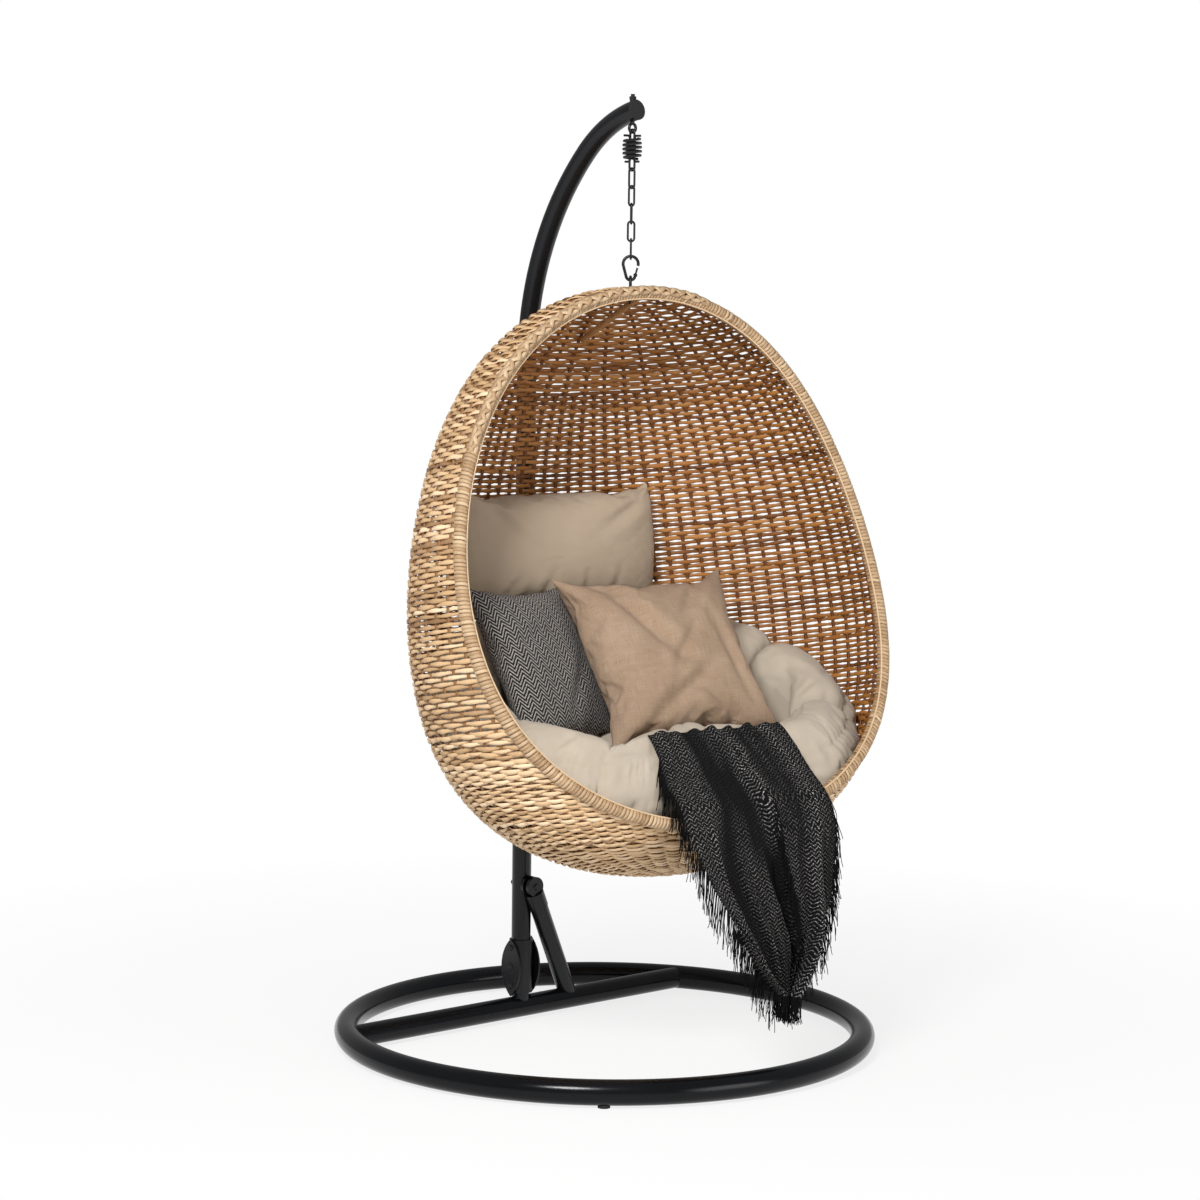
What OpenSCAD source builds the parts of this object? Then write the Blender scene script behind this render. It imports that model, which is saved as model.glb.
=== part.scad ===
// Hanging egg chair: a woven egg-shaped basket that hangs on a spring and a short chain
// from a curved tubular arm, with a round floor ring, cushions, two pillows and a throw.
// Millimetres, +Z up, the chair faces -Y, origin on the floor at the centre of the ring.

/* [Base ring] */
// Outer diameter of the ring on the floor
ring_d = 1100; // [950:10:1300]
// Diameter of the ring's tube
ring_tube = 50; // [42:1:60]
// Wall of the ring's tube
ring_wall = 1.5; // [1:0.1:3]
// Number of rubber feet
foot_count = 4; // [3:1:8]
// Diameter of a rubber foot
foot_d = 24; // [16:1:36]
// Height of the ring's underside above the floor
foot_h = 4; // [2:0.5:10]

/* [Crossbar] */
// Distance of the crossbar and post behind the ring's centre
post_y = 264; // [230:1:320]
// Diameter of the crossbar's tube
crossbar_tube = 45; // [38:1:50]
// Wall of the crossbar's tube
crossbar_wall = 1.5; // [1:0.1:3]

/* [Post and arm] */
// Diameter of the post and the arm
post_tube = 40; // [34:1:44]
// Wall of the post and the arm
post_wall = 2; // [1.5:0.1:3]
// Height of the joint between the post and the arm
post_top = 1000; // [800:10:1200]
// Height at which the arm starts to curve
curve_start = 1372; // [1300:1:1450]
// Radius of the arm's long lower curve
arm_radius = 612; // [560:1:660]
// Sweep of the long lower curve, in degrees
arm_sweep = 45; // [40:1:50]
// Radius of the arm's short upper curve
tip_radius = 300; // [260:1:340]
// Sweep of the short upper curve, in degrees
tip_sweep = 32; // [26:1:36]
// Distance of the eye bolt behind the arm's end
eye_inset = 11; // [9:1:30]

/* [Foot of the post] */
// Height of the sleeve round the post's lower end
sleeve_len = 112; // [80:1:140]
// Wall of the sleeve
sleeve_wall = 4; // [3:0.5:6]
// Gap between the crossbar and the sleeve
sleeve_gap = 9; // [5:1:20]
// Height of a cheek plate
cheek_len = 122; // [100:1:140]
// Width of a cheek plate at its middle
cheek_w = 58; // [48:1:70]
// Thickness of a cheek plate
cheek_t = 4; // [3:0.5:6]
// Diameter of the foot's bolts
foot_bolt_d = 8; // [6:1:10]

/* [Brace] */
// Diameter of the brace's tube
brace_tube = 38; // [30:1:40]
// Distance of the brace's foot from the post along the crossbar
brace_reach = 126; // [110:1:180]
// Height of the bolt at the brace's upper end
brace_top = 289; // [260:1:340]

/* [Hanger] */
// Wire of the eye bolt's eye
eye_wire = 6; // [5:0.5:7]
// Outer diameter of the eye
eye_d = 23; // [21:1:26]
// Wire of the two drawbars
rod_wire = 4.5; // [4:0.5:5]
// Half the distance between a drawbar's legs
rod_reach = 6; // [5.5:0.5:6.5]
// Wire of the spring
coil_wire = 6; // [5:0.5:6.5]
// Outer diameter of the spring
coil_d = 40; // [38:1:46]
// Turns of the spring
coil_turns = 5; // [4:1:6]
// Length of the spring
coil_len = 46; // [46:1:60]
// Length of the lower drawbar below the spring
rod_drop = 20; // [16:1:30]
// Number of chain links
link_count = 5; // [5:1:5]
// Outer length of a chain link
link_len = 43.5; // [40:0.5:50]
// Outer width of a chain link
link_w = 17; // [16:0.5:20]
// Wire of a chain link
link_wire = 4.2; // [3.8:0.1:4.6]
// Wire of the snap hook
hook_wire = 6; // [5:0.5:6.5]
// Outer width of the snap hook at its upper end
hook_w = 36; // [34:1:42]
// Length of the snap hook between the centres of its two bows
hook_len = 47; // [42:1:56]

/* [Basket] */
// Overall width that the egg is drawn from
egg_w = 1171; // [1100:1:1200]
// Overall depth that the egg is drawn from
egg_d = 770; // [720:1:776]
// Height of the egg along its own axis
egg_h = 1174; // [1100:1:1200]
// Narrowing towards the top
egg_taper = 0.13; // [0.05:0.01:0.2]
// Flattening of the middle
egg_flat = 0.12; // [0.05:0.01:0.15]
// Lean of the egg, in degrees, with its bottom forward
egg_lean = 10.7; // [6:0.1:14]
// Distance of the egg's axis behind the hanging point
egg_back = 40; // [20:1:45]
// Thickness of the woven wall
wall = 10; // [8:1:14]
// Distance of the opening's top in front of the hanging point
mouth_front = 50; // [40:1:70]
// Lean of the opening, in degrees
mouth_lean = 18.9; // [16:0.1:21]
// Hollow of the opening's side profile
mouth_hollow = 77; // [50:1:90]
// Angle at which the basket hangs, about the chain
basket_turn = -8; // [-12:1:8]
// Diameter of the steel hoop in the rim
hoop_d = 16; // [12:1:20]
// Thickness of the cane binding on the rim
binding = 5; // [3:1:8]

/* [Cushions] */
// Thickness of the seat cushion's roll
roll_d = 150; // [120:5:170]
// Height of the roll's top below the hanging point, on the basket's centre line
roll_top = 735; // [715:1:760]
// Rise of the seat towards the back, per unit of depth
seat_slope = 0.48; // [0.4:0.01:0.55]
// Depth of the seat below the roll
seat_dish = 70; // [50:5:100]
// Segments of the roll
roll_parts = 12; // [8:1:16]
// Depth of the creases between the segments
crease = 16; // [8:1:24]
// Width of the head cushion
head_w = 470; // [420:5:500]
// Height of the head cushion
head_h = 250; // [220:5:280]
// Thickness of the head cushion
head_t = 112; // [80:1:120]
// Side of the square tan pillow
tan_side = 420; // [380:5:440]
// Thickness of the tan pillow
tan_t = 130; // [100:5:150]
// Side of the square dark pillow
dark_side = 330; // [300:5:350]
// Thickness of the dark pillow
dark_t = 80; // [60:5:100]

/* [Throw] */
// Width of the throw
throw_w = 330; // [280:5:360]
// Thickness of the throw
throw_t = 9; // [6:1:12]
// Height of the throw's lowest point above the floor
throw_low = 170; // [140:5:260]

/* [Hidden] */
$fn = 64;

steel = [0.09, 0.10, 0.11];
rubber = [0.05, 0.05, 0.05];
cane = [0.80, 0.62, 0.40];
cane_edge = [0.86, 0.70, 0.48];
cream = [0.86, 0.79, 0.69];
taupe = [0.78, 0.69, 0.59];
tan = [0.76, 0.61, 0.48];
charcoal = [0.24, 0.24, 0.25];

fit_gap = 0.3;          // running clearance between pieces
bore_gap = 0.25;        // clearance of a bolt in its hole, on the radius
nut_af = 1.8;           // hexagon across corners of a nut, in bolt diameters
nut_t = 0.8;            // thickness of a nut, in bolt diameters
// where two stretches of one bent tube or wire meet, one is a hair thicker or thinner and
// overlaps the other, so that no two surfaces coincide
hair = 0.05;            // difference of their radii
let_in = 0.5;           // length of the overlap

// ---------- derived: stand ----------
ring_r = (ring_d - ring_tube) / 2;
ring_z = foot_h + ring_tube / 2;
bar_half = sqrt(ring_r * ring_r - post_y * post_y);
bar_top = ring_z + crossbar_tube / 2;
post_r = post_tube / 2;
spigot_r = post_r - post_wall - fit_gap;
sleeve_r = post_r + fit_gap + sleeve_wall;
sleeve_z = bar_top + sleeve_gap;
cheek_x = sleeve_r + fit_gap;
cheek_mid = bar_top + cheek_len / 2 + 2;
bolt_zs = [for (k = [0.14, 0.5, 0.86]) sleeve_z + k * sleeve_len];
bolt_reach = cheek_x + cheek_t;

// arm: point at angle a (from +Y) on each curve, in the YZ plane
long_c = [post_y - arm_radius, curve_start];
knee = long_c + arm_radius * [cos(arm_sweep), sin(arm_sweep)];
tip_c = knee - tip_radius * [cos(arm_sweep), sin(arm_sweep)];
tip_a = arm_sweep + tip_sweep;
arm_end = tip_c + tip_radius * [cos(tip_a), sin(tip_a)];
hang_y = arm_end[0] + eye_inset;
arm_over = tip_c[1] + sqrt(pow(tip_radius, 2) - pow(hang_y - tip_c[0], 2));

// brace: upper and lower ends of its centre line
head_depth = 26;          // depth of the brace's head in front of the post
brace_p = [0, post_y - post_r - head_depth / 2, brace_top];
brace_b = [brace_reach, post_y, bar_top];
brace_v = brace_p - brace_b;
brace_len = norm(brace_v);
brace_tilt = acos(brace_v[2] / brace_len);
brace_turn = atan2(brace_v[1], brace_v[0]);
brace_bolt_d = 8;
head_cup = 52;          // distance from the head's bolt to the brace tube's end

// ---------- derived: hanger, heights on the hanging line ----------
arm_under = arm_over - post_r;
eye_r = (eye_d - eye_wire) / 2;
eye_z = arm_under - eye_d / 2 - 1;
eye_low = eye_z - eye_r;
shank_d = 8;
// wire centre of a loop that hangs on a wire whose centre is at z
function hung_on(z, d1, d2) = z + (d1 + d2) / 2 + fit_gap;
upper_top = hung_on(eye_low, eye_wire, rod_wire);
coil_top = eye_z - eye_d / 2 - rod_wire - 1.4;
coil_bottom = coil_top - coil_len;
upper_hook = coil_bottom - rod_wire / 2 - fit_gap;
lower_hook = coil_top + rod_wire / 2 + fit_gap;
lower_low = coil_bottom - rod_drop;
link_c = link_len - link_wire;
link_top_1 = hung_on(lower_low, rod_wire, link_wire);
link_pitch = link_c - link_wire - fit_gap;
function link_top(i) = link_top_1 - (i - 1) * link_pitch;
chain_low = link_top(link_count) - link_c;
hook_top = hung_on(chain_low, link_wire, hook_wire);
hook_low = hook_top - hook_len;
loop_wire = 6;
loop_r = 11;
loop_top = hung_on(hook_low, hook_wire, loop_wire);
// turns of the wires about the hanging line, in degrees
rod_turn = -7;
link_turns = [103, 173, 233, 138, 228];
hook_turn = -42;

// ---------- derived: basket ----------
// the hanging point of the egg lies below the hook
hang_z = hook_low - 8;
half_w = egg_w / 2;
half_d = egg_d / 2;
half_h = egg_h / 2;
mouth_h = 1152 * egg_h / 1174;

// unit direction at angle a round the back pole and angle s from it
function aim(a, s) = [cos(a) * sin(s), cos(s), sin(a) * sin(s)];
// egg surface along a unit direction, drawn in by t, before its lean
function swell(u) = 1 - egg_taper * u[2] - egg_flat * (1 - u[2] * u[2]);
function egg_raw(u, t) = [
    (half_w - t) * u[0] * swell(u),
    egg_back + (half_d - t) * u[1] * swell(u),
    (half_h - t) * u[2] - half_h];
function leaned(p) = [
    p[0],
    p[1] * cos(egg_lean) + p[2] * sin(egg_lean),
    -p[1] * sin(egg_lean) + p[2] * cos(egg_lean)];
function egg(u, t) = leaned(egg_raw(u, t));
// front surface of the opening at height z below the hanging point
function mouth_y(z) =
    -mouth_front + tan(mouth_lean) * z + 4 * mouth_hollow * (-z / mouth_h) * (1 + z / mouth_h);
// angle from the back pole at which the egg meets the opening
function rim_angle(a, lo, hi, n) =
    n == 0 ? (lo + hi) / 2 :
    let (m = (lo + hi) / 2, p = egg(aim(a, m), 0))
    p[1] > mouth_y(p[2]) ? rim_angle(a, m, hi, n - 1) : rim_angle(a, lo, m, n - 1);
function rim_at(a) = rim_angle(a, 60, 170, 18);
// signed level of a point inside the egg drawn in by t: positive is inside
function unleaned(p) = [
    p[0],
    p[1] * cos(egg_lean) - p[2] * sin(egg_lean),
    p[1] * sin(egg_lean) + p[2] * cos(egg_lean)];
function inside(p, t) =
    let (q = unleaned(p), s = max(-1, min(1, (q[2] + half_h) / (half_h - t))), k = swell([0, 0, s]))
    1 - pow(q[0] / ((half_w - t) * k), 2) - pow((q[1] - egg_back) / ((half_d - t) * k), 2) - s * s;

// ---------- general shapes ----------
module pipe(d, t, h) {
    difference() {
        cylinder(d = d, h = h);
        translate([0, 0, -1]) cylinder(d = d - 2 * t, h = h + 2);
    }
}
module torus(r, d) { rotate_extrude() translate([r, 0]) circle(d = d); }
// stretch of torus in the YZ plane, from angle a0 over sweep degrees, angles from +Y
module bow(r, d, a0, sweep, bore = 0) {
    rotate([90, 0, 90]) rotate([0, 0, a0]) rotate_extrude(angle = sweep)
        translate([r, 0]) difference() {
            circle(d = d);
            if (bore > 0) circle(d = bore);
        }
}
module hexagon(d, h) { cylinder(d = d, h = h, $fn = 6); }
// closed skin over rings of points, each ring with the same number of points
module skin(rings) {
    n = len(rings[0]);
    m = len(rings);
    points = [for (ring = rings) for (p = ring) p];
    sides = [for (i = [0 : m - 2]) for (j = [0 : n - 1])
        let (a = i * n + j, b = i * n + (j + 1) % n)
        each [[a, b, b + n], [a, b + n, a + n]]];
    first = [for (j = [1 : n - 2]) [0, j + 1, j]];
    last = [for (j = [1 : n - 2]) [(m - 1) * n, (m - 1) * n + j, (m - 1) * n + j + 1]];
    polyhedron(points, concat(sides, first, last), convexity = 6);
}
// closed skin of a cloth: each ring is its upper row and then its lower row backwards
module cloth_skin(rings) {
    n = len(rings[0]);
    m = len(rings);
    points = [for (ring = rings) for (p = ring) p];
    sides = [for (i = [0 : m - 2]) for (j = [0 : n - 1])
        let (a = i * n + j, b = i * n + (j + 1) % n)
        each [[a, b, b + n], [a, b + n, a + n]]];
    first = [for (j = [0 : n / 2 - 2]) each [[j, n - 1 - j, n - 2 - j], [j, n - 2 - j, j + 1]]];
    last = [for (f = first) [for (k = [2 : -1 : 0]) f[k] + (m - 1) * n]];
    polyhedron(points, concat(sides, first, last), convexity = 6);
}
// closed loop of tube through rings of points
module loop_skin(rings) {
    n = len(rings[0]);
    m = len(rings);
    points = [for (ring = rings) for (p = ring) p];
    faces = [for (i = [0 : m - 1]) for (j = [0 : n - 1])
        let (a = i * n + j, b = i * n + (j + 1) % n, c = ((i + 1) % m) * n + j,
             d = ((i + 1) % m) * n + (j + 1) % n)
        each [[a, b, d], [a, d, c]]];
    polyhedron(points, faces, convexity = 6);
}
module on_line(z = 0, turn = 0) { translate([0, hang_y, z]) rotate([0, 0, turn]) children(); }
module in_basket() { translate([0, hang_y, hang_z]) rotate([0, 0, basket_turn]) children(); }

// ---------- base ----------
module ring_solid() { translate([0, 0, ring_z]) torus(ring_r, ring_tube); }
module base_ring() {
    color(steel) translate([0, 0, ring_z]) rotate_extrude() translate([ring_r, 0]) difference() {
        circle(d = ring_tube);
        circle(d = ring_tube - 2 * ring_wall);
    }
}
module ring_feet() {
    color(rubber) difference() {
        for (i = [0 : foot_count - 1])
            rotate([0, 0, 48 + i * 360 / foot_count]) translate([ring_r, 0, 0])
                cylinder(d = foot_d, h = foot_h + foot_d / 4);
        ring_solid();
    }
}
module crossbar_solid() {
    translate([-bar_half, post_y, ring_z]) rotate([0, 90, 0]) cylinder(d = crossbar_tube, h = 2 * bar_half);
}
module crossbar() {
    color(steel) difference() {
        translate([-bar_half, post_y, ring_z]) rotate([0, 90, 0])
            pipe(crossbar_tube, crossbar_wall, 2 * bar_half);
        ring_solid();
    }
}

// ---------- foot of the post ----------
module foot_bores() {
    for (z = bolt_zs) translate([-60, post_y, z]) rotate([0, 90, 0])
        cylinder(r = foot_bolt_d / 2 + bore_gap, h = 120);
}
module foot_spigot() {
    color(steel) difference() {
        translate([0, post_y, ring_z]) pipe(2 * spigot_r, 2.5, sleeve_z + sleeve_len + 20 - ring_z);
        crossbar_solid();
        foot_bores();
    }
}
module foot_sleeve() {
    color(steel) difference() {
        translate([0, post_y, sleeve_z]) pipe(2 * sleeve_r, sleeve_wall, sleeve_len);
        foot_bores();
    }
}
// pointed oval, the overlap of two circles
module pointed_oval(h, w) {
    r = (h * h + w * w) / (4 * w);
    intersection() {
        translate([r - w / 2, 0]) circle(r = r, $fn = 96);
        translate([w / 2 - r, 0]) circle(r = r, $fn = 96);
    }
}
module cheek_plates() {
    color(steel) difference() {
        for (s = [-1, 1])
            translate([s * (cheek_x + cheek_t / 2) - cheek_t / 2, post_y, cheek_mid])
                rotate([90, 0, 90]) linear_extrude(cheek_t) pointed_oval(cheek_len, cheek_w);
        foot_bores();
    }
}
module foot_bolts() {
    color(steel) for (z = bolt_zs) translate([-bolt_reach, post_y, z]) rotate([0, 90, 0]) {
        cylinder(d = foot_bolt_d, h = 2 * bolt_reach + nut_t * foot_bolt_d + 2);
        translate([0, 0, -4]) cylinder(d1 = 10, d2 = 14, h = 4);
    }
}
module foot_nuts() {
    color(steel) for (z = bolt_zs) translate([bolt_reach, post_y, z]) rotate([0, 90, 0]) difference() {
        hexagon(nut_af * foot_bolt_d, nut_t * foot_bolt_d);
        translate([0, 0, -1]) cylinder(r = foot_bolt_d / 2 + bore_gap / 5, h = 20);
    }
}

// ---------- post and arm ----------
module brace_bore() {
    translate([0, post_y + 60, brace_top]) rotate([90, 0, 0])
        cylinder(r = brace_bolt_d / 2 + bore_gap, h = 140);
}
module post() {
    color(steel) difference() {
        translate([0, post_y, sleeve_z]) pipe(post_tube, post_wall, post_top - sleeve_z);
        foot_bores();
        brace_bore();
    }
}
screw_z = post_top + 45;
module screw_bore(r) {
    translate([0, post_y + 60, screw_z]) rotate([90, 0, 0]) cylinder(r = r, h = 120);
}
tip_let = 180 / PI * let_in / tip_radius;
module arm() {
    color(steel) difference() {
        union() {
            translate([0, post_y, post_top])
                pipe(post_tube + 2 * hair, post_wall + 2 * hair, curve_start - post_top + let_in);
            translate([0, long_c[0], long_c[1]])
                bow(arm_radius, post_tube, 0, arm_sweep, post_tube - 2 * post_wall);
            translate([0, tip_c[0], tip_c[1]])
                bow(tip_radius, post_tube + 2 * hair, arm_sweep - tip_let, tip_sweep + tip_let,
                    post_tube - 2 * post_wall - 2 * hair);
        }
        translate([0, hang_y, eye_z]) cylinder(r = shank_d / 2 + bore_gap, h = 100);
        screw_bore(3 + bore_gap);
    }
}
module arm_spigot() {
    color(steel) difference() {
        translate([0, post_y, post_top - 80]) pipe(2 * spigot_r, 2.5, 160);
        screw_bore(3 + bore_gap);
    }
}
module arm_screw() {
    color(steel) translate([0, post_y + post_r, screw_z]) rotate([90, 0, 0]) {
        cylinder(d = 6, h = post_wall + 6);
        translate([0, 0, -3]) cylinder(d = 11, h = 3);
    }
}
cap_plug = 2.5;         // depth of the cap's plug, short of the eye bolt
module end_cap() {
    color(rubber) translate([0, arm_end[0], arm_end[1]]) rotate([tip_a, 0, 0]) {
        translate([0, 0, -cap_plug]) cylinder(r = post_r - post_wall - fit_gap, h = cap_plug);
        cylinder(r = post_r + 0.5, h = 2.5);
    }
}

// ---------- brace ----------
module along_brace(from) {
    translate(brace_p) rotate([0, 0, brace_turn]) rotate([0, 180 + brace_tilt, 0])
        translate([0, 0, from]) children();
}
module post_keep_out() {
    translate([0, post_y, 0]) cylinder(r = post_r + fit_gap, h = brace_top + 100);
}
module brace() {
    color(steel) difference() {
        along_brace(head_cup) pipe(brace_tube, 2, brace_len);
        translate([-bar_half, post_y - 100, -100]) cube([2 * bar_half, 200, 100 + ring_z]);
        crossbar_solid();
        post_keep_out();
    }
}
module brace_head() {
    color(steel) difference() {
        union() {
            along_brace(14) cylinder(d = brace_tube + 3, h = head_cup - 14);
            along_brace(14) cylinder(r = brace_tube / 2 - 2 - fit_gap, h = head_cup + 6);
            for (y = [brace_p[1] - 13, brace_p[1] + 4.7]) translate([0, y, brace_top])
                rotate([-90, 0, 0]) cylinder(d = brace_tube + 3, h = 8);
        }
        translate([-40, brace_p[1] - 5, brace_top - 20]) cube([80, 9.7, 60]);
        brace_bore();
        post_keep_out();
    }
}
module brace_bolt() {
    color(steel) translate([0, brace_p[1] - 13, brace_top]) rotate([-90, 0, 0]) {
        cylinder(d = brace_bolt_d, h = 13 + head_depth / 2 + post_tube + 10);
        translate([0, 0, -4]) cylinder(d1 = 10, d2 = 15, h = 4);
    }
}
module brace_nut() {
    color(steel) translate([0, post_y + post_r, brace_top]) rotate([-90, 0, 0]) difference() {
        hexagon(nut_af * brace_bolt_d, nut_t * brace_bolt_d);
        translate([0, 0, -1]) cylinder(r = brace_bolt_d / 2 + bore_gap / 5, h = 20);
    }
}

// ---------- hanger ----------
module eye_bolt() {
    color(steel) on_line(eye_z) {
        rotate([90, 0, 0]) torus(eye_r, eye_wire);
        translate([0, 0, eye_r]) cylinder(d = shank_d, h = arm_over + post_r + 14 - eye_z - eye_r);
    }
}
module eye_nut() {
    slope = 90 - acos((hang_y - tip_c[0]) / tip_radius);
    color(steel) on_line() difference() {
        union() {
            translate([0, 0, arm_over]) cylinder(d = 12, h = post_r + 3);
            translate([0, 0, arm_over + post_r + 3]) hexagon(nut_af * shank_d, nut_t * shank_d);
        }
        translate([0, 0, arm_over]) rotate([90 - slope, 0, 0]) translate([0, 0, -40])
            cylinder(r = post_r + fit_gap / 3, h = 80);
        translate([0, 0, arm_over - 1]) cylinder(r = shank_d / 2 + bore_gap / 5, h = 60);
    }
}
// bent wire of a drawbar: a bow at z_bow, two legs, and feet that turn out at z_foot;
// up is 1 where the bow is above the feet and -1 where it is below
module drawbar(z_bow, z_foot, up) {
    bend = 5;
    foot = coil_d / 2 - rod_reach - bend;
    bow_c = z_bow - up * rod_reach;
    leg = abs(bow_c - z_foot) - bend;
    translate([0, 0, bow_c]) bow(rod_reach, rod_wire, up > 0 ? 0 : 180, 180);
    for (s = [-1, 1]) {
        translate([0, s * rod_reach, up > 0 ? bow_c - leg : bow_c]) cylinder(d = rod_wire, h = leg);
        translate([0, s * (rod_reach + bend), z_foot + up * bend]) mirror([0, s < 0 ? 1 : 0, 0])
            bow(bend, rod_wire, up > 0 ? 180 : 90, 90);
        translate([0, s * (rod_reach + bend), z_foot]) rotate([s > 0 ? -90 : 90, 0, 0])
            cylinder(d = rod_wire, h = foot);
    }
}
module upper_drawbar() { color(steel) on_line() drawbar(upper_top, upper_hook, 1); }
module lower_drawbar() { color(steel) on_line(0, rod_turn + 90) drawbar(lower_low, lower_hook, -1); }
// centre of the spring's wire after t turns: both ends draw in
coil_rings = 8;
coil_pitch = (coil_len - coil_wire) / coil_turns;
function coil_radius(t) =
    (coil_d - coil_wire) / 2 - 2.5 * pow(abs(2 * t / coil_turns - 1), 3);
function coil_point(t) =
    [coil_radius(t) * cos(360 * t), coil_radius(t) * sin(360 * t), coil_wire / 2 + coil_pitch * t];
function coil_ring(t) =
    let (c = coil_point(t))
    [for (k = [0 : 5]) let (r = coil_wire / 2 * cos(60 * k), h = coil_wire / 2 * sin(60 * k))
        [c[0] + r * cos(360 * t), c[1] + r * sin(360 * t), c[2] + h]];
coil_path = [for (i = [0 : coil_turns * coil_rings]) coil_point(i / coil_rings)];
coil_gaps = [for (i = [0 : len(coil_path) - 1]) for (j = [i + 4 : 1 : len(coil_path) - 1])
    norm(coil_path[i] - coil_path[j]) - coil_wire];
echo(least_gap_in_spring = min(coil_gaps));
module spring_coil() {
    color(steel) on_line(coil_bottom)
        skin([for (i = [0 : coil_turns * coil_rings]) coil_ring(i / coil_rings)]);
}
// link whose upper bow's wire centre is at the origin, in the YZ plane
module link_shape() {
    r = (link_w - link_wire) / 2;
    for (s = [-1, 1]) translate([0, s * r, r - link_c]) cylinder(d = link_wire, h = link_c - 2 * r);
    translate([0, 0, -r]) bow(r, link_wire, 0, 180);
    translate([0, 0, r - link_c]) bow(r, link_wire, 180, 180);
}
module chain_link(i) {
    color(steel) on_line(link_top(i), link_turns[i - 1] - 90) link_shape();
}
module chain_link_1() { chain_link(1); }
module chain_link_2() { chain_link(2); }
module chain_link_3() { chain_link(3); }
module chain_link_4() { chain_link(4); }
module chain_link_5() { chain_link(5); }
// snap hook in the YZ plane, its upper bow's wire at the origin: wide bow above, narrow
// bow below, a fixed leg on the -Y side and the gate on the +Y side
hook_rt = (hook_w - hook_wire) / 2;
hook_rb = 9;
hook_span = hook_len - hook_rt - hook_rb;
hook_lean = asin((hook_rt - hook_rb) / hook_span);
hook_leg = sqrt(pow(hook_span, 2) - pow(hook_rt - hook_rb, 2));
gate_wire = 3.9;
knuckle_d = 8;
pin_d = 3;
// foot of the leg on side s: where the lower bow ends
function leg_foot(s) =
    [0, s * hook_rb * cos(hook_lean), -hook_rt - hook_span - hook_rb * sin(hook_lean)];
module on_leg(s, from) {
    translate(leg_foot(s)) rotate([-s * hook_lean, 0, 0]) translate([0, 0, from]) children();
}
gate_pin_at = 3.2;        // distance of the gate's pin above the lower bow's end
gate_end = hook_leg - 4;
module hook_frame() {
    translate([0, 0, -hook_rt]) bow(hook_rt, hook_wire, -hook_lean, 180 + 2 * hook_lean);
    translate([0, 0, -hook_rt - hook_span])
        bow(hook_rb, hook_wire, 180 + hook_lean, 180 - 2 * hook_lean);
    on_leg(-1, -let_in) cylinder(d = hook_wire - 2 * hair, h = hook_leg + 2 * let_in);
    difference() {
        on_leg(1, gate_pin_at) for (x = [-1, 1]) translate([x * 3.1 - 1, 0, 0]) rotate([0, 90, 0])
            cylinder(d = knuckle_d, h = 2);
        gate_bore(bore_gap / 10);
    }
}
module gate_bore(gap) {
    on_leg(1, gate_pin_at) translate([-10, 0, 0]) rotate([0, 90, 0]) cylinder(r = pin_d / 2 + gap, h = 20);
}
module on_hook() { on_line(hook_top, hook_turn - 90) children(); }
module snap_hook() { color(steel) on_hook() hook_frame(); }
module hook_gate() {
    color(steel) on_hook() difference() {
        on_leg(1, gate_pin_at) {
            translate([-1.8, 0, 0]) rotate([0, 90, 0]) cylinder(d = knuckle_d - 2.6, h = 3.6);
            cylinder(d = gate_wire, h = gate_end - gate_pin_at);
        }
        gate_bore(bore_gap / 4);
    }
}
module gate_pin() {
    color(steel) on_hook() on_leg(1, gate_pin_at) translate([-4.6, 0, 0]) rotate([0, 90, 0]) {
        cylinder(d = pin_d, h = 9.2);
        for (x = [-0.8, 9.2]) translate([0, 0, x]) cylinder(d = pin_d + 1.6, h = 0.8);
    }
}

// ---------- basket frame ----------
bar_d = 12;             // diameter of the crown bar
bar_inset = wall + bar_d / 2 + fit_gap;
bar_back = egg(aim(90, 62), bar_inset);
bar_front = egg(aim(90, rim_at(90) - 3), bar_inset);
loop_turn = hook_turn - basket_turn;
loop_c = loop_top - loop_r - hang_z;
// height of the crown bar's axis under the hanging point
bar_z = bar_front[2] + (bar_back[2] - bar_front[2]) * (-bar_front[1]) / (bar_back[1] - bar_front[1]);
module loop_legs(d) {
    rotate([0, 0, loop_turn]) for (s = [-1, 1])
        translate([0, s * loop_r, bar_z]) cylinder(d = d, h = loop_c - bar_z + let_in);
}
module crown_line(d) {
    v = bar_back - bar_front;
    translate(bar_front) rotate([atan2(v[2], v[1]) - 90, 0, 0]) cylinder(d = d, h = norm(v));
}
module hang_loop() {
    color(steel) in_basket() difference() {
        union() {
            translate([0, 0, loop_c]) rotate([0, 0, loop_turn]) bow(loop_r, loop_wire, 0, 180);
            loop_legs(loop_wire - 2 * hair);
        }
        crown_line(bar_d);
    }
}
module crown_bar() { color(steel) in_basket() crown_line(bar_d); }
// centre of the rim's hoop at angle a
function hoop_at(a) = egg(aim(a, rim_at(a)), wall / 2);
// ring of a tube of radius r round the hoop's centre line at angle a, with n sides
function unit(v) = v / norm(v);
function hoop_ring(a, r, n) =
    let (c = hoop_at(a), t = unit(hoop_at(a + 1) - hoop_at(a - 1)),
         o = unit(cross(t, [0, 1, 0])), q = cross(o, t))
    [for (k = [0 : n - 1]) c + r * (cos(360 * k / n) * o + sin(360 * k / n) * q)];
rim_steps = 60;
rim_as = [for (i = [0 : rim_steps - 1]) 360 * i / rim_steps];
binding_r = hoop_d / 2 + binding;
module rim_hoop() {
    color(steel) in_basket() loop_skin([for (a = rim_as) hoop_ring(a, hoop_d / 2, 8)]);
}
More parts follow.
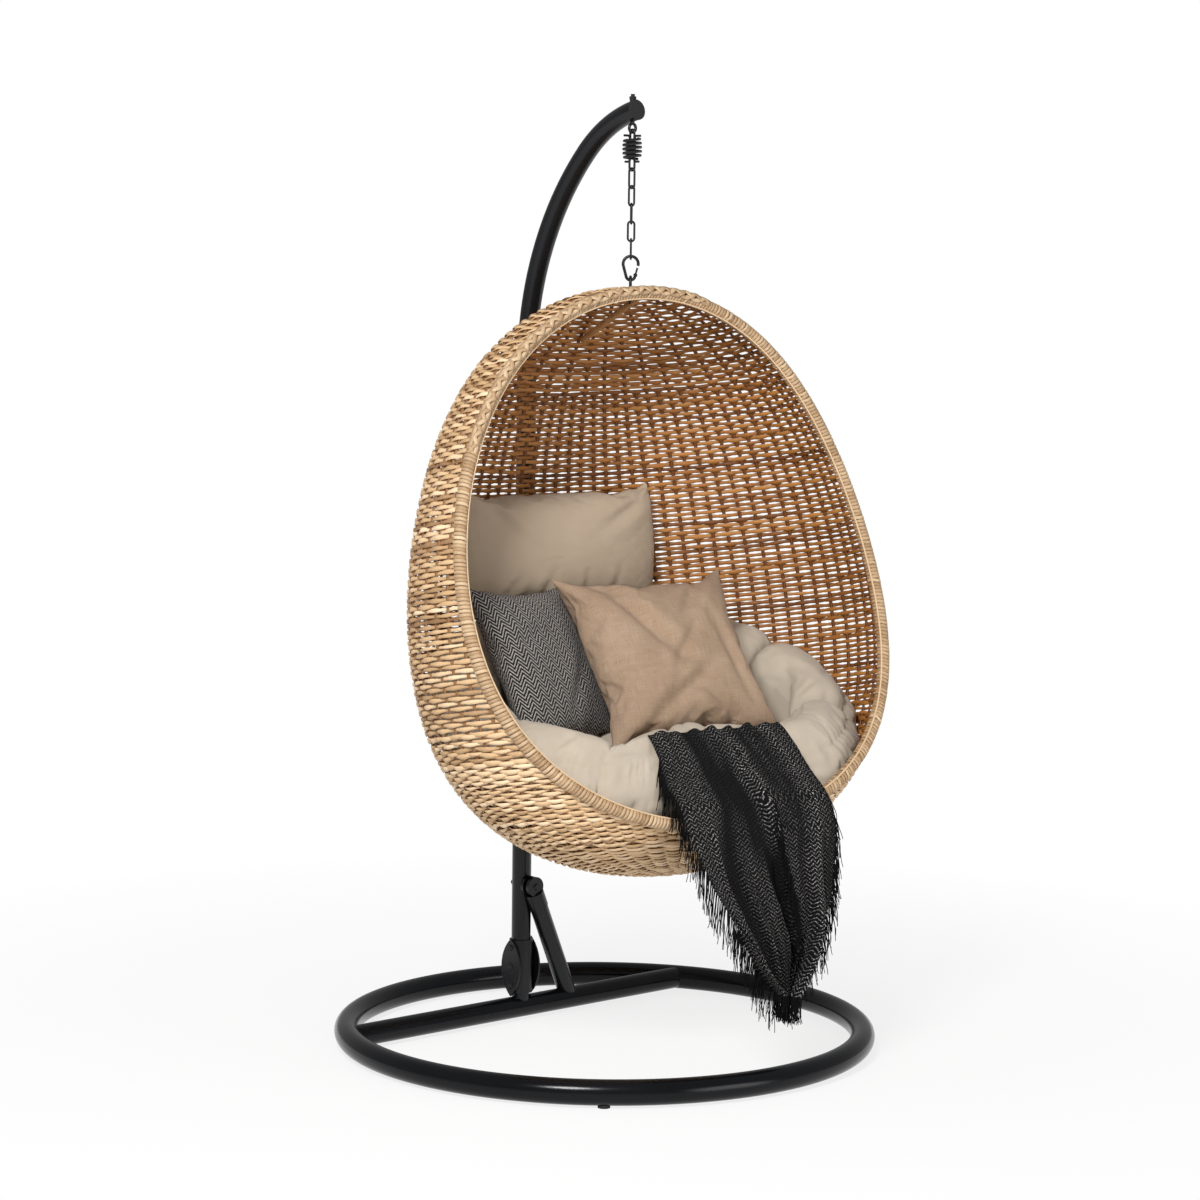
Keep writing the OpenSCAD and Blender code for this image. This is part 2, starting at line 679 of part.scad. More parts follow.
// open section of the binding: its slit faces the woven wall
binding_out = [for (k = [-5 : 5]) 30 * k];
function binding_ring(a) =
    let (c = hoop_at(a), t = unit(hoop_at(a + 1) - hoop_at(a - 1)),
         w = unit(egg(aim(a, rim_at(a) - 3), wall / 2) - c), q = unit(cross(w, t)),
         r = (hoop_d / 2 + fit_gap) / cos(15))
    concat([for (k = binding_out) c - binding_r * (cos(k) * w + sin(k) * q)],
           [for (k = [len(binding_out) - 1 : -1 : 0])
               c - r * (cos(binding_out[k]) * w + sin(binding_out[k]) * q)]);
module rim_binding() {
    color(cane_edge) in_basket() loop_skin([for (a = rim_as) binding_ring(a)]);
}

// ---------- woven shell ----------
shell_steps = 12;
function shell_edge(a) =
    let (s = rim_at(a), step = norm(egg(aim(a, s), wall / 2) - egg(aim(a, s - 1), wall / 2)))
    s - (binding_r + fit_gap) / step;
function shell_ring(i, t) =
    [for (a = rim_as) egg(aim(a, shell_edge(a) * (i + 0.5) / (shell_steps + 0.5)), t)];
module woven_shell() {
    color(cane) in_basket()
        skin(concat([for (i = [0 : shell_steps]) shell_ring(i, wall)],
                    [for (i = [shell_steps : -1 : 0]) shell_ring(i, 0)]));
}

// ---------- cushions ----------
roll_gap = 2.7;          // further space between the wall and the roll
pad_gap = 7;            // space between the wall and a cushion
seat_y = -60;           // centre of the seat, behind the hanging point
function roll_z(y) = seat_slope * y - roll_top - 1.1 * roll_d / 2;
function fits(p) = inside(p, wall + pad_gap) > 0 && p[1] > mouth_y(p[2]) + binding_r;
function seat_point(a, r, h) =
    let (y = seat_y + r * sin(a)) [r * cos(a), y, roll_z(y) + h];
function reach(a, lo, hi, n) =
    n == 0 ? lo :
    let (m = (lo + hi) / 2) fits(seat_point(a, m, 0)) ? reach(a, m, hi, n - 1) : reach(a, lo, m, n - 1);
function floor_z(x, y, lo, hi, n) =
    n == 0 ? hi :
    let (m = (lo + hi) / 2)
    fits([x, y, m]) ? floor_z(x, y, lo, m, n - 1) : floor_z(x, y, m, hi, n - 1);
seat_deep = 1.3;        // depth of the seat's underside, in roll diameters
seat_heel = 0.7;        // how much deeper it is at the back and shallower in front
seat_as = [for (i = [0 : 4 * roll_parts - 1]) 13 + 360 * i / (4 * roll_parts)];
function pinch(i) = [crease, crease / 8, 0, crease / 8][i % 4];
function roll_r(i) = roll_d / 2 - pinch(i);
roll_angles = [160, 125, 90, 55, 20, -15];
function seat_top(f, h) = [for (a = seat_as) seat_point(a, f * (reach(a, 0, 600, 14) - roll_d), h)];
function roll_ring(t) =
    [for (i = [0 : len(seat_as) - 1])
        let (a = seat_as[i], r = roll_r(i), c = reach(a, 0, 600, 14) - roll_d / 2 - roll_gap)
        seat_point(a, c + r * cos(t), r * sin(t))];
function seat_under(f) =
    [for (a = seat_as)
        let (r = f * (reach(a, 0, 600, 14) - 4), p = seat_point(a, r, 0))
        [p[0], p[1], max(floor_z(p[0], p[1], -half_h * 2, p[2], 16), p[2] - (seat_deep + seat_heel * sin(a)) * roll_d * (1 - f * f) - 30)]];
module seat_cushion() {
    color(cream) in_basket() skin(concat(
        [seat_top(0.08, -seat_dish), seat_top(0.5, -seat_dish), seat_top(0.9, -seat_dish / 1.3)],
        [for (t = roll_angles) roll_ring(t)],
        [seat_under(0.9), seat_under(0.72), seat_under(0.45), seat_under(0.12)]));
}
// pillow w wide and h high in the XZ plane, t thick along Y, with pointed corners,
// drawn-in sides and a crown
pillow_steps = 40;
function side_of(a, e) = sign(cos(a)) * pow(abs(cos(a)), e);
function outline(a, w, h, draw) =
    let (x = side_of(a, 0.42), y = side_of(a - 90, 0.42))
    [w / 2 * x * (1 - draw * (1 - y * y)), h / 2 * y * (1 - draw * (1 - x * x))];
function crown(x, y) = pow(max(0, (1 - pow(abs(x), 2.6)) * (1 - pow(abs(y), 2.6))), 0.5);
function pillow_ring(f, side, w, h, t, draw) =
    [for (i = [0 : pillow_steps - 1])
        let (o = f * outline(360 * i / pillow_steps, w, h, draw))
        [o[0], side * (f < 1 ? t / 2 * crown(2 * o[0] / w, 2 * o[1] / h) : 0), o[1]]];
pillow_fs = [0.1, 0.4, 0.65, 0.83, 0.95];
module pillow(w, h, t, draw = 0.06) {
    skin(concat(
        [for (f = pillow_fs) pillow_ring(f, -1, w, h, t, draw)],
        [pillow_ring(1, 1, w, h, t, draw)],
        [for (i = [len(pillow_fs) - 1 : -1 : 0]) pillow_ring(pillow_fs[i], 1, w, h, t, draw)]));
}
// centre and turns of each loose piece, from the hanging point
head_at = [-46, 182, -529];
head_turn = [-4, 0, 0];
dark_at = [-200, -3, -761.9];
dark_turn = [-28, -6, 25];
tan_at = [63, -55, -735.9];
tan_turn = [-36, 0, 0];
module head_cushion() {
    color(taupe) in_basket() translate(head_at) rotate(head_turn) pillow(head_w, head_h, head_t, 0.03);
}
module dark_pillow() {
    color(charcoal) in_basket() translate(dark_at) rotate(dark_turn) pillow(dark_side, dark_side, dark_t);
}
module tan_pillow() {
    color(tan) in_basket() translate(tan_at) rotate(tan_turn) pillow(tan_side, tan_side, tan_t);
}

// ---------- throw ----------
throw_path = [[-214, -852], [-238, -856], [-264, -862], [-290, -880], [-314, -907], [-340, -949],
    [-388, -990], [-405, -1040]];
throw_mid = 45;         // middle of the throw, across the basket
throw_end = throw_low - hang_z;
throw_rows = 20;
throw_cols = 12;
// point at distance v (0 to 1) along the lying part, or straight down past its end
function path_point(v) =
    let (n = len(throw_path) - 1, k = min(n - 1, floor(v * n)), f = v * n - k)
    throw_path[k] * (1 - f) + throw_path[k + 1] * f;
function throw_spine(i) =
    let (n = throw_rows - 6)
    i <= n ? path_point(i / n) :
    [throw_path[7][0], throw_path[7][1] + (throw_end - throw_path[7][1]) * (i - n) / 6];
function throw_half(i) =
    throw_w / 2 * (i < throw_rows - 5 ? 1 : 1 - 0.16 * (i - throw_rows + 5));
function throw_point(i, u, side) =
    let (p = throw_spine(i), fold = 9 * sin(360 * 2.5 * u) * max(0, i - 8) / throw_rows,
         q = throw_spine(max(0, i - 1)), r = throw_spine(min(throw_rows, i + 1)),
         d = unit(r - q), nrm = [d[1], -d[0]])
    [throw_mid + 2 * throw_half(i) * (u - 0.5) + 60 * (i / throw_rows - 0.5),
     p[0] - fold + side * throw_t / 2 * nrm[0], p[1] + side * throw_t / 2 * nrm[1]];
function throw_ring(i) = concat(
    [for (j = [0 : throw_cols]) throw_point(i, j / throw_cols, 1)],
    [for (j = [throw_cols : -1 : 0]) throw_point(i, j / throw_cols, -1)]);
module throw() {
    color(charcoal) in_basket() cloth_skin([for (i = [0 : throw_rows]) throw_ring(i)]);
}

base_ring();
ring_feet();
crossbar();
foot_spigot();
foot_sleeve();
cheek_plates();
foot_bolts();
foot_nuts();
post();
arm();
arm_spigot();
arm_screw();
brace();
brace_head();
brace_bolt();
brace_nut();
end_cap();
eye_bolt();
eye_nut();
upper_drawbar();
spring_coil();
lower_drawbar();
chain_link_1();
chain_link_2();
chain_link_3();
chain_link_4();
chain_link_5();
snap_hook();
hook_gate();
gate_pin();
hang_loop();
crown_bar();
rim_hoop();
woven_shell();
rim_binding();
seat_cushion();
head_cushion();
dark_pillow();
tan_pillow();
throw();
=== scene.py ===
"""Hanging egg chair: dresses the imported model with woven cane, stuffed cushions and a throw.

Sizes are in millimetres in the basket's own frame, whose origin is the egg's hanging point,
and place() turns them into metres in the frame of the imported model.
"""
import bpy
import math
import numpy as np
from mathutils import Matrix


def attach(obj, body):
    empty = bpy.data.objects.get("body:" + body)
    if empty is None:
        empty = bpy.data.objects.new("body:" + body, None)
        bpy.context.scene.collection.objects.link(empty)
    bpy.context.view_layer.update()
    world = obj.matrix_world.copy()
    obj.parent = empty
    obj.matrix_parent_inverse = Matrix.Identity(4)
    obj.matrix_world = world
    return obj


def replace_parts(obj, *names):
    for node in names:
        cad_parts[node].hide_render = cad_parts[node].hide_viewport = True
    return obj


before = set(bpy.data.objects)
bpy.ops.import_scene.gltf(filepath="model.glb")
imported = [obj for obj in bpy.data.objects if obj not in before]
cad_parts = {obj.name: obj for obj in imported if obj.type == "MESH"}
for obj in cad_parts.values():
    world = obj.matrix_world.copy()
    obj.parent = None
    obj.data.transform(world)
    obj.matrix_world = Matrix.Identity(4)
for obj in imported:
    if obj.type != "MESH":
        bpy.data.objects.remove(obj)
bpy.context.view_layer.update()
rng = np.random.default_rng(7)

# ---------- sizes repeated from part.scad ----------
HANG_Y, HANG_Z, TURN = -48.8974, 1542.82, -8.0
HALF_W, HALF_D, HALF_H = 585.5, 385.0, 587.0
TAPER, FLAT, LEAN, BACK = 0.13, 0.12, math.radians(10.7), 40.0
MOUTH_FRONT, MOUTH_LEAN, MOUTH_HOLLOW, MOUTH_H = 50.0, math.radians(18.9), 77.0, 1152.0
WALL, BINDING_R = 10.0, 13.0
MID = WALL / 2             # depth of the middle of the wall
ROLL_D, ROLL_TOP, SEAT_SLOPE, SEAT_Y = 150.0, 735.0, 0.48, -60.0


def place(p):
    """Points in the basket's frame, in mm, to metres in the row frame."""
    p = np.asarray(p, float)
    c, s = math.cos(math.radians(TURN)), math.sin(math.radians(TURN))
    out = np.empty_like(p)
    out[..., 0] = p[..., 0] * c - p[..., 1] * s
    out[..., 1] = p[..., 0] * s + p[..., 1] * c + HANG_Y
    out[..., 2] = p[..., 2] + HANG_Z
    return out / 1000


# ---------- the egg and its opening ----------
def leaned(x, y, z):
    c, s = math.cos(LEAN), math.sin(LEAN)
    return np.stack([x, y * c + z * s, -y * s + z * c], axis=-1)


def egg(theta, uz, t):
    """Point at angle theta round the egg's axis and height uz (-1 to 1), drawn in by t."""
    theta, uz, t = np.broadcast_arrays(np.asarray(theta, float), uz, t)
    c = np.sqrt(np.maximum(0, 1 - uz * uz))
    k = 1 - TAPER * uz - FLAT * (1 - uz * uz)
    return leaned((HALF_W - t) * c * np.cos(theta) * k,
                  BACK + (HALF_D - t) * c * np.sin(theta) * k, (HALF_H - t) * uz - HALF_H)


def egg_normal(theta, uz, t):
    e = 1e-4
    a = egg(theta + e, uz, t) - egg(theta - e, uz, t)
    b = egg(theta, np.clip(uz + e, -1, 1), t) - egg(theta, np.clip(uz - e, -1, 1), t)
    return unit(np.cross(a, b))


def unit(v):
    return v / np.maximum(np.linalg.norm(v, axis=-1, keepdims=True), 1e-12)


def mouth_y(z):
    return (-MOUTH_FRONT + math.tan(MOUTH_LEAN) * z
            + 4 * MOUTH_HOLLOW * (-z / MOUTH_H) * (1 + z / MOUTH_H))


def egg_aim(a, s, t):
    """The egg by angle a round its back pole and angle s from it, as part.scad has it."""
    ux, uy, uz = np.cos(a) * np.sin(s), np.cos(s), np.sin(a) * np.sin(s)
    k = 1 - TAPER * uz - FLAT * (1 - uz * uz)
    return leaned((HALF_W - t) * ux * k, BACK + (HALF_D - t) * uy * k, (HALF_H - t) * uz - HALF_H)


def rim_angle(a):
    lo, hi = np.full_like(a, math.radians(60)), np.full_like(a, math.radians(170))
    for _ in range(30):
        m = (lo + hi) / 2
        p = egg_aim(a, m, 0.0)
        inside = p[..., 1] > mouth_y(p[..., 2])
        lo, hi = np.where(inside, m, lo), np.where(inside, hi, m)
    return (lo + hi) / 2


def lengths(p):
    """Distance along a polyline to each of its points."""
    return np.concatenate([[0], np.cumsum(np.linalg.norm(np.diff(p, axis=0), axis=1))])


def resample(p, step, closed=False):
    """Points every step along a polyline."""
    if closed:
        p = np.vstack([p, p[:1]])
    d = lengths(p)
    n = max(2, int(round(d[-1] / step)) + 1)
    s = np.linspace(0, d[-1], n)
    q = np.stack([np.interp(s, d, p[:, i]) for i in range(3)], axis=1)
    return (q[:-1] if closed else q), d[-1]


def smooth_noise(n, step, length, amp):
    """Smooth random values at n samples a step apart, that vary over about length."""
    k = max(4, int(n * step / length) + 3)
    x = np.linspace(0, k - 1, n)
    v = rng.normal(size=k)
    i = np.clip(x.astype(int), 0, k - 2)
    f = x - i
    f = f * f * (3 - 2 * f)
    return amp * (v[i] * (1 - f) + v[i + 1] * f)


# ---------- mesh helpers ----------
def new_object(name, verts, faces, mat, body="basket", floats=None):
    """A smooth piece that rides on body, with one float attribute for each of floats."""
    me = bpy.data.meshes.new(name)
    me.from_pydata(np.asarray(verts).tolist(), [], faces)
    me.update()
    me.shade_smooth()
    for key, val in (floats or {}).items():
        at = me.attributes.new(key, "FLOAT", "POINT")
        at.data.foreach_set("value", np.asarray(val, np.float32))
    me.materials.append(mat)
    ob = bpy.data.objects.new(name, me)
    bpy.context.scene.collection.objects.link(ob)
    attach(ob, body)
    return ob


class Tubes:
    """Gathers flat strands into one mesh: each has a centre line, a wide axis and a thin one."""

    def __init__(self, sides=6):
        self.sides, self.v, self.f, self.n = sides, [], [], 0
        self.extra = {}

    def add(self, p, wide, thin, w, t, closed=False, **floats):
        m, k = len(p), self.sides
        if m < 2:
            return
        ang = 2 * math.pi * (np.arange(k) + 0.5) / k
        w, t = np.broadcast_to(w, m), np.broadcast_to(t, m)
        tangent = np.gradient(p, axis=0)
        flip = np.einsum("ij,ij->i", np.cross(wide, thin), tangent).mean() < 0
        ring = (p[:, None] + (w / 2)[:, None, None] * np.cos(ang)[None, :, None] * wide[:, None]
                + (t / 2)[:, None, None] * np.sin(ang)[None, :, None] * thin[:, None])
        self.v.append(ring.reshape(-1, 3))
        i = np.arange(m if closed else m - 1)[:, None]
        j = np.arange(k)[None, :]
        a, b = i * k + j, i * k + (j + 1) % k
        c, d = ((i + 1) % m) * k + (j + 1) % k, ((i + 1) % m) * k + j
        quads = np.stack([a, b, c, d], axis=-1).reshape(-1, 4) + self.n
        if flip:
            quads = quads[:, ::-1]
        self.f += quads.tolist()
        if not closed:
            first = list(range(self.n + k - 1, self.n - 1, -1))
            last = list(range(self.n + (m - 1) * k, self.n + m * k))
            if flip:
                first, last = first[::-1], last[::-1]
            self.f += [first, last]
        for key, val in floats.items():
            arr = np.repeat(np.broadcast_to(val, m), k) if np.ndim(val) < 2 else val.reshape(-1)
            self.extra.setdefault(key, []).append(arr)
        self.n += m * k

    def build(self, name, mat, slot):
        floats = {k: np.concatenate(x) for k, x in self.extra.items()}
        return new_object(name, place(np.vstack(self.v)), self.f, mat, floats=floats)


# ---------- materials ----------
def material(name):
    m = bpy.data.materials.new(name)
    m.use_nodes = True
    nt = m.node_tree
    return m, nt, nt.nodes["Principled BSDF"]


def node(nt, kind, ins=None, **props):
    n = nt.nodes.new(kind)
    for k, v in props.items():
        setattr(n, k, v)
    for k, v in (ins or {}).items():
        if isinstance(v, bpy.types.NodeSocket):
            nt.links.new(v, n.inputs[k])
        else:
            n.inputs[k].default_value = v
    return n


def attribute(nt, name):
    return node(nt, "ShaderNodeAttribute", attribute_name=name).outputs["Fac"]


def math_node(nt, op, a, b=0.0, clamp=False):
    n = node(nt, "ShaderNodeMath", {0: a, 1: b}, operation=op, use_clamp=clamp)
    return n.outputs[0]


def mix(nt, f, a, b, blend="MIX"):
    n = node(nt, "ShaderNodeMix", data_type="RGBA", blend_type=blend)
    for key, val in (("Factor", f), ("A", a), ("B", b)):
        s = [i for i in n.inputs if i.name == key and i.enabled][0]
        if isinstance(val, bpy.types.NodeSocket):
            nt.links.new(val, s)
        else:
            s.default_value = val
    return [o for o in n.outputs if o.enabled][0]


def rgb(r, g, b):
    return (r, g, b, 1.0)


def object_coords(nt):
    return node(nt, "ShaderNodeTexCoord").outputs["Object"]


def noise(nt, scale, detail=2.0, vec=None, rough=0.5):
    ins = {"Scale": scale, "Detail": detail, "Roughness": rough}
    if vec is not None:
        ins["Vector"] = vec
    else:
        ins["Vector"] = object_coords(nt)
    return node(nt, "ShaderNodeTexNoise", ins).outputs["Fac"]


def bump(nt, bsdf, height, strength, distance):
    b = node(nt, "ShaderNodeBump", {"Height": height, "Strength": strength, "Distance": distance})
    nt.links.new(b.outputs["Normal"], bsdf.inputs["Normal"])


def ramp(nt, fac, stops):
    r = node(nt, "ShaderNodeValToRGB", {"Fac": fac})
    els = r.color_ramp.elements
    while len(els) < len(stops):
        els.new(0.5)
    for e, (pos, col) in zip(els, stops):
        e.position, e.color = pos, col
    return r.outputs["Color"]


def cane_material(name, dark, mid, light, inner):
    """Cane: each strand's own tone, fibre streaks, and painted shade on the faces that look into
    the basket.
    """
    m, nt, b = material(name)
    tone = attribute(nt, "tone")
    streak = noise(nt, 420.0, 3.0)
    patch = noise(nt, 9.0, 2.0)
    t = math_node(nt, "ADD", math_node(nt, "MULTIPLY", tone, 0.62),
                  math_node(nt, "ADD", math_node(nt, "MULTIPLY", streak, 0.26),
                            math_node(nt, "MULTIPLY", patch, 0.14)), clamp=True)
    col = ramp(nt, t, [(0.18, dark), (0.5, mid), (0.82, light)])
    # painted shade: faces that look into the basket are multiplied by the last colour
    col = mix(nt, attribute(nt, "inner"), col, mix(nt, 1.0, col, inner, "MULTIPLY"))
    nt.links.new(col, b.inputs["Base Color"])
    b.inputs["Roughness"].default_value = 0.52
    b.inputs["Specular IOR Level"].default_value = 0.35
    bump(nt, b, streak, 0.35, 0.0006)
    return m


def steel_material(name, base, rough, grain, amount, shine=0.32):
    """Powder coat: a fine orange-peel skin, a little duller where it has been handled."""
    m, nt, b = material(name)
    fine = noise(nt, grain, 3.0)
    wide = noise(nt, 7.0, 3.0)
    col = mix(nt, math_node(nt, "MULTIPLY", wide, 0.8), base,
              rgb(base[0] * 1.7 + 0.004, base[1] * 1.7 + 0.004, base[2] * 1.7 + 0.005))
    nt.links.new(col, b.inputs["Base Color"])
    r = math_node(nt, "ADD", math_node(nt, "MULTIPLY", wide, 0.16), rough - 0.08)
    nt.links.new(r, b.inputs["Roughness"])
    b.inputs["Specular IOR Level"].default_value = shine
    bump(nt, b, fine, amount, 0.0008)
    return m


def thread_height(nt, u, v, pitch):
    """Height of a plain weave of threads, pitch mm apart, from the cloth's own u and v."""
    k = 2 * math.pi / pitch
    su = math_node(nt, "SINE", math_node(nt, "MULTIPLY", u, k))
    sv = math_node(nt, "SINE", math_node(nt, "MULTIPLY", v, k))
    return math_node(nt, "MULTIPLY", su, sv)


def uv_vector(nt, u, v, su, sv):
    return node(nt, "ShaderNodeCombineXYZ", {"X": math_node(nt, "MULTIPLY", u, su),
                                             "Y": math_node(nt, "MULTIPLY", v, sv)}).outputs[0]


def cotton_material(name, shade, light, pitch=1.4, slub=0.3, strength=0.25, sheen=0.15):
    """Woven cloth with threads, slubs along them and a slightly uneven dye."""
    m, nt, b = material(name)
    u, v = attribute(nt, "u"), attribute(nt, "v")
    threads = thread_height(nt, u, v, pitch)
    slub_u = noise(nt, 1.0, 2.0, uv_vector(nt, u, v, 0.03, 0.9))
    slub_v = noise(nt, 1.0, 2.0, uv_vector(nt, u, v, 0.9, 0.03))
    slubs = math_node(nt, "ADD", slub_u, slub_v)
    wide = noise(nt, 11.0, 2.0)
    f = math_node(nt, "ADD", math_node(nt, "MULTIPLY", wide, 0.55),
                  math_node(nt, "MULTIPLY", math_node(nt, "SUBTRACT", slubs, 0.7), slub),
                  clamp=True)
    nt.links.new(mix(nt, f, shade, light), b.inputs["Base Color"])
    b.inputs["Roughness"].default_value = 0.9
    b.inputs["Specular IOR Level"].default_value = 0.2
    b.inputs["Sheen Weight"].default_value = sheen
    h = math_node(nt, "ADD", math_node(nt, "MULTIPLY", threads, 0.3),
                  math_node(nt, "MULTIPLY", slubs, 0.9 * slub + 0.2))
    bump(nt, b, h, strength, 0.0012)
    return m


def herringbone_material(name, dark, light, pitch, zig, lift=0.15, bare=0.30, sheen=0.1,
                         folds=False):
    """Herringbone: thin pale lines that turn back every zig mm, broken by dark yarn; with folds
    set, painted shade from the lit attribute dims the lines.
    """
    m, nt, b = material(name)
    u, v = attribute(nt, "u"), attribute(nt, "v")
    saw = math_node(nt, "PINGPONG", u, zig)
    line = math_node(nt, "SINE", math_node(nt, "MULTIPLY", math_node(nt, "ADD", v, saw),
                                           2 * math.pi / pitch))
    grit = noise(nt, 1.0, 2.0, uv_vector(nt, u, v, 0.55, 0.55))
    f = math_node(nt, "MULTIPLY",
                  math_node(nt, "ADD", math_node(nt, "MULTIPLY", line, 1.6), lift, clamp=True),
                  math_node(nt, "MULTIPLY", math_node(nt, "SUBTRACT", grit, bare), 5.0, clamp=True))
    # painted shade: the pale lines are scaled by the lit attribute, which is low down in the folds
    if folds:
        f = math_node(nt, "MULTIPLY", f, attribute(nt, "lit"))
    nt.links.new(mix(nt, f, dark, light), b.inputs["Base Color"])
    b.inputs["Roughness"].default_value = 0.93
    b.inputs["Specular IOR Level"].default_value = 0.12
    b.inputs["Sheen Weight"].default_value = sheen
    bump(nt, b, math_node(nt, "ADD", math_node(nt, "MULTIPLY", line, 0.5), grit), 0.5, 0.0016)
    return m


# each cane's last colour is the painted shade for faces that look into the basket
cane = cane_material("cane", rgb(0.25, 0.13, 0.055), rgb(0.63, 0.415, 0.22),
                     rgb(0.90, 0.68, 0.45), rgb(0.50, 0.295, 0.115))
pale_cane = cane_material("pale_cane", rgb(0.21, 0.115, 0.055), rgb(0.39, 0.25, 0.135),
                          rgb(0.66, 0.49, 0.31), rgb(0.72, 0.56, 0.42))
black_coat = steel_material("black_coat", rgb(0.002, 0.0023, 0.003), 0.27, 900.0, 0.13)
# painted shade: a darker, less shiny copy of black_coat that dims the ring and crossbar, which are
# the same powder coat as the stand
dimmed_ring_coat = steel_material("dimmed_ring_coat", rgb(0.0012, 0.0015, 0.002), 0.17, 900.0, 0.10, 0.2)
black_wire = steel_material("black_wire", rgb(0.006, 0.006, 0.007), 0.34, 1400.0, 0.12)
black_rubber = steel_material("black_rubber", rgb(0.012, 0.012, 0.012), 0.75, 700.0, 0.25)
cream = cotton_material("cream_cotton", rgb(0.40, 0.335, 0.262), rgb(0.57, 0.50, 0.405), 1.6, 0.18)
taupe = cotton_material("taupe_cotton", rgb(0.36, 0.28, 0.20), rgb(0.46, 0.365, 0.27), 1.3, 0.12)
linen = cotton_material("tan_linen", rgb(0.23, 0.14, 0.08), rgb(0.47, 0.345, 0.245),
                        2.2, 0.85, 0.7, 0.05)
charcoal = herringbone_material("charcoal_herringbone", rgb(0.009, 0.0085, 0.009),
                                rgb(0.46, 0.42, 0.385), 9.0, 16.0, 0.0, 0.36)
black_wool = herringbone_material("charcoal_wool", rgb(0.004, 0.004, 0.0045),
                                  rgb(0.74, 0.71, 0.68), 8.0, 8.0, -0.45, 0.48, 0.0, True)

for name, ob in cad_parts.items():
    if name in ("ring_feet", "end_cap"):
        mat = black_rubber
    # the ring and crossbar take the dimmed copy of the coat, as painted shade
    elif name in ("base_ring", "crossbar"):
        mat = dimmed_ring_coat
    elif name in ("foot_spigot", "foot_sleeve", "cheek_plates", "post",
                  "arm", "arm_spigot", "brace", "brace_head", "crown_bar", "rim_hoop"):
        mat = black_coat
    else:
        mat = black_wire
    if not ob.material_slots:
        ob.data.materials.append(mat)
    for material_slot in ob.material_slots:
        material_slot.material = mat

# ---------- woven wall ----------
STAKES, SUB = 80, 4         # stakes round the whole egg, and points of a row for each
STAKE_W, STAKE_T, STAKE_IN = 8.4, 4.6, 6.8          # width, thickness and depth in the wall
ROW, ROW_W, ROW_T, WEAVE = 10.0, 9.5, 3.3, 3.0      # spacing, width, thickness and sway of rows
DENSE, DENSE_ROW, DENSE_W = -0.47, 7.2, 9.4         # height where the weave closes, its rows below
SPACING, SKIP_MOST = 20.0, 16                       # closest stakes that carry rows, most left out


def meridian():
    uz = np.linspace(1, -1, 4001)
    d = sum(lengths(egg(t, uz, MID)) for t in (0.0, math.pi / 2, math.pi)) / 3
    return uz, d


uz_table, arc_table = meridian()
total_arc = arc_table[-1]
uz_of = lambda d: np.interp(d, arc_table, uz_table)

eq = np.linspace(0, 2 * math.pi, 7201)
eq_len = lengths(egg(eq, 0.0, MID))
stake_theta = np.interp(np.arange(SUB * STAKES) / (SUB * STAKES) * eq_len[-1], eq_len, eq)


def girth_at(uz):
    t = np.linspace(0, 2 * math.pi, 181)
    return np.linalg.norm(np.diff(egg(t, uz, MID), axis=0), axis=1).sum()


def skip_at(uz):
    """Every stake carries the weave at the middle, every second or fourth near the poles."""
    s, k = girth_at(uz) / STAKES, 1
    while s * k < SPACING and k < SKIP_MOST:
        k *= 2
    return k


def kept(theta, uz, margin=2.0):
    p = egg(theta, uz, 0.0)
    return p[..., 1] > mouth_y(p[..., 2]) + margin


rows = []
d = 16.0
while d < total_arc - 10:
    u = float(uz_of(d))
    rows.append(u)
    blend = np.clip((DENSE + 0.05 - u) / 0.1, 0, 1)
    d += ROW * (1 - blend) + DENSE_ROW * blend

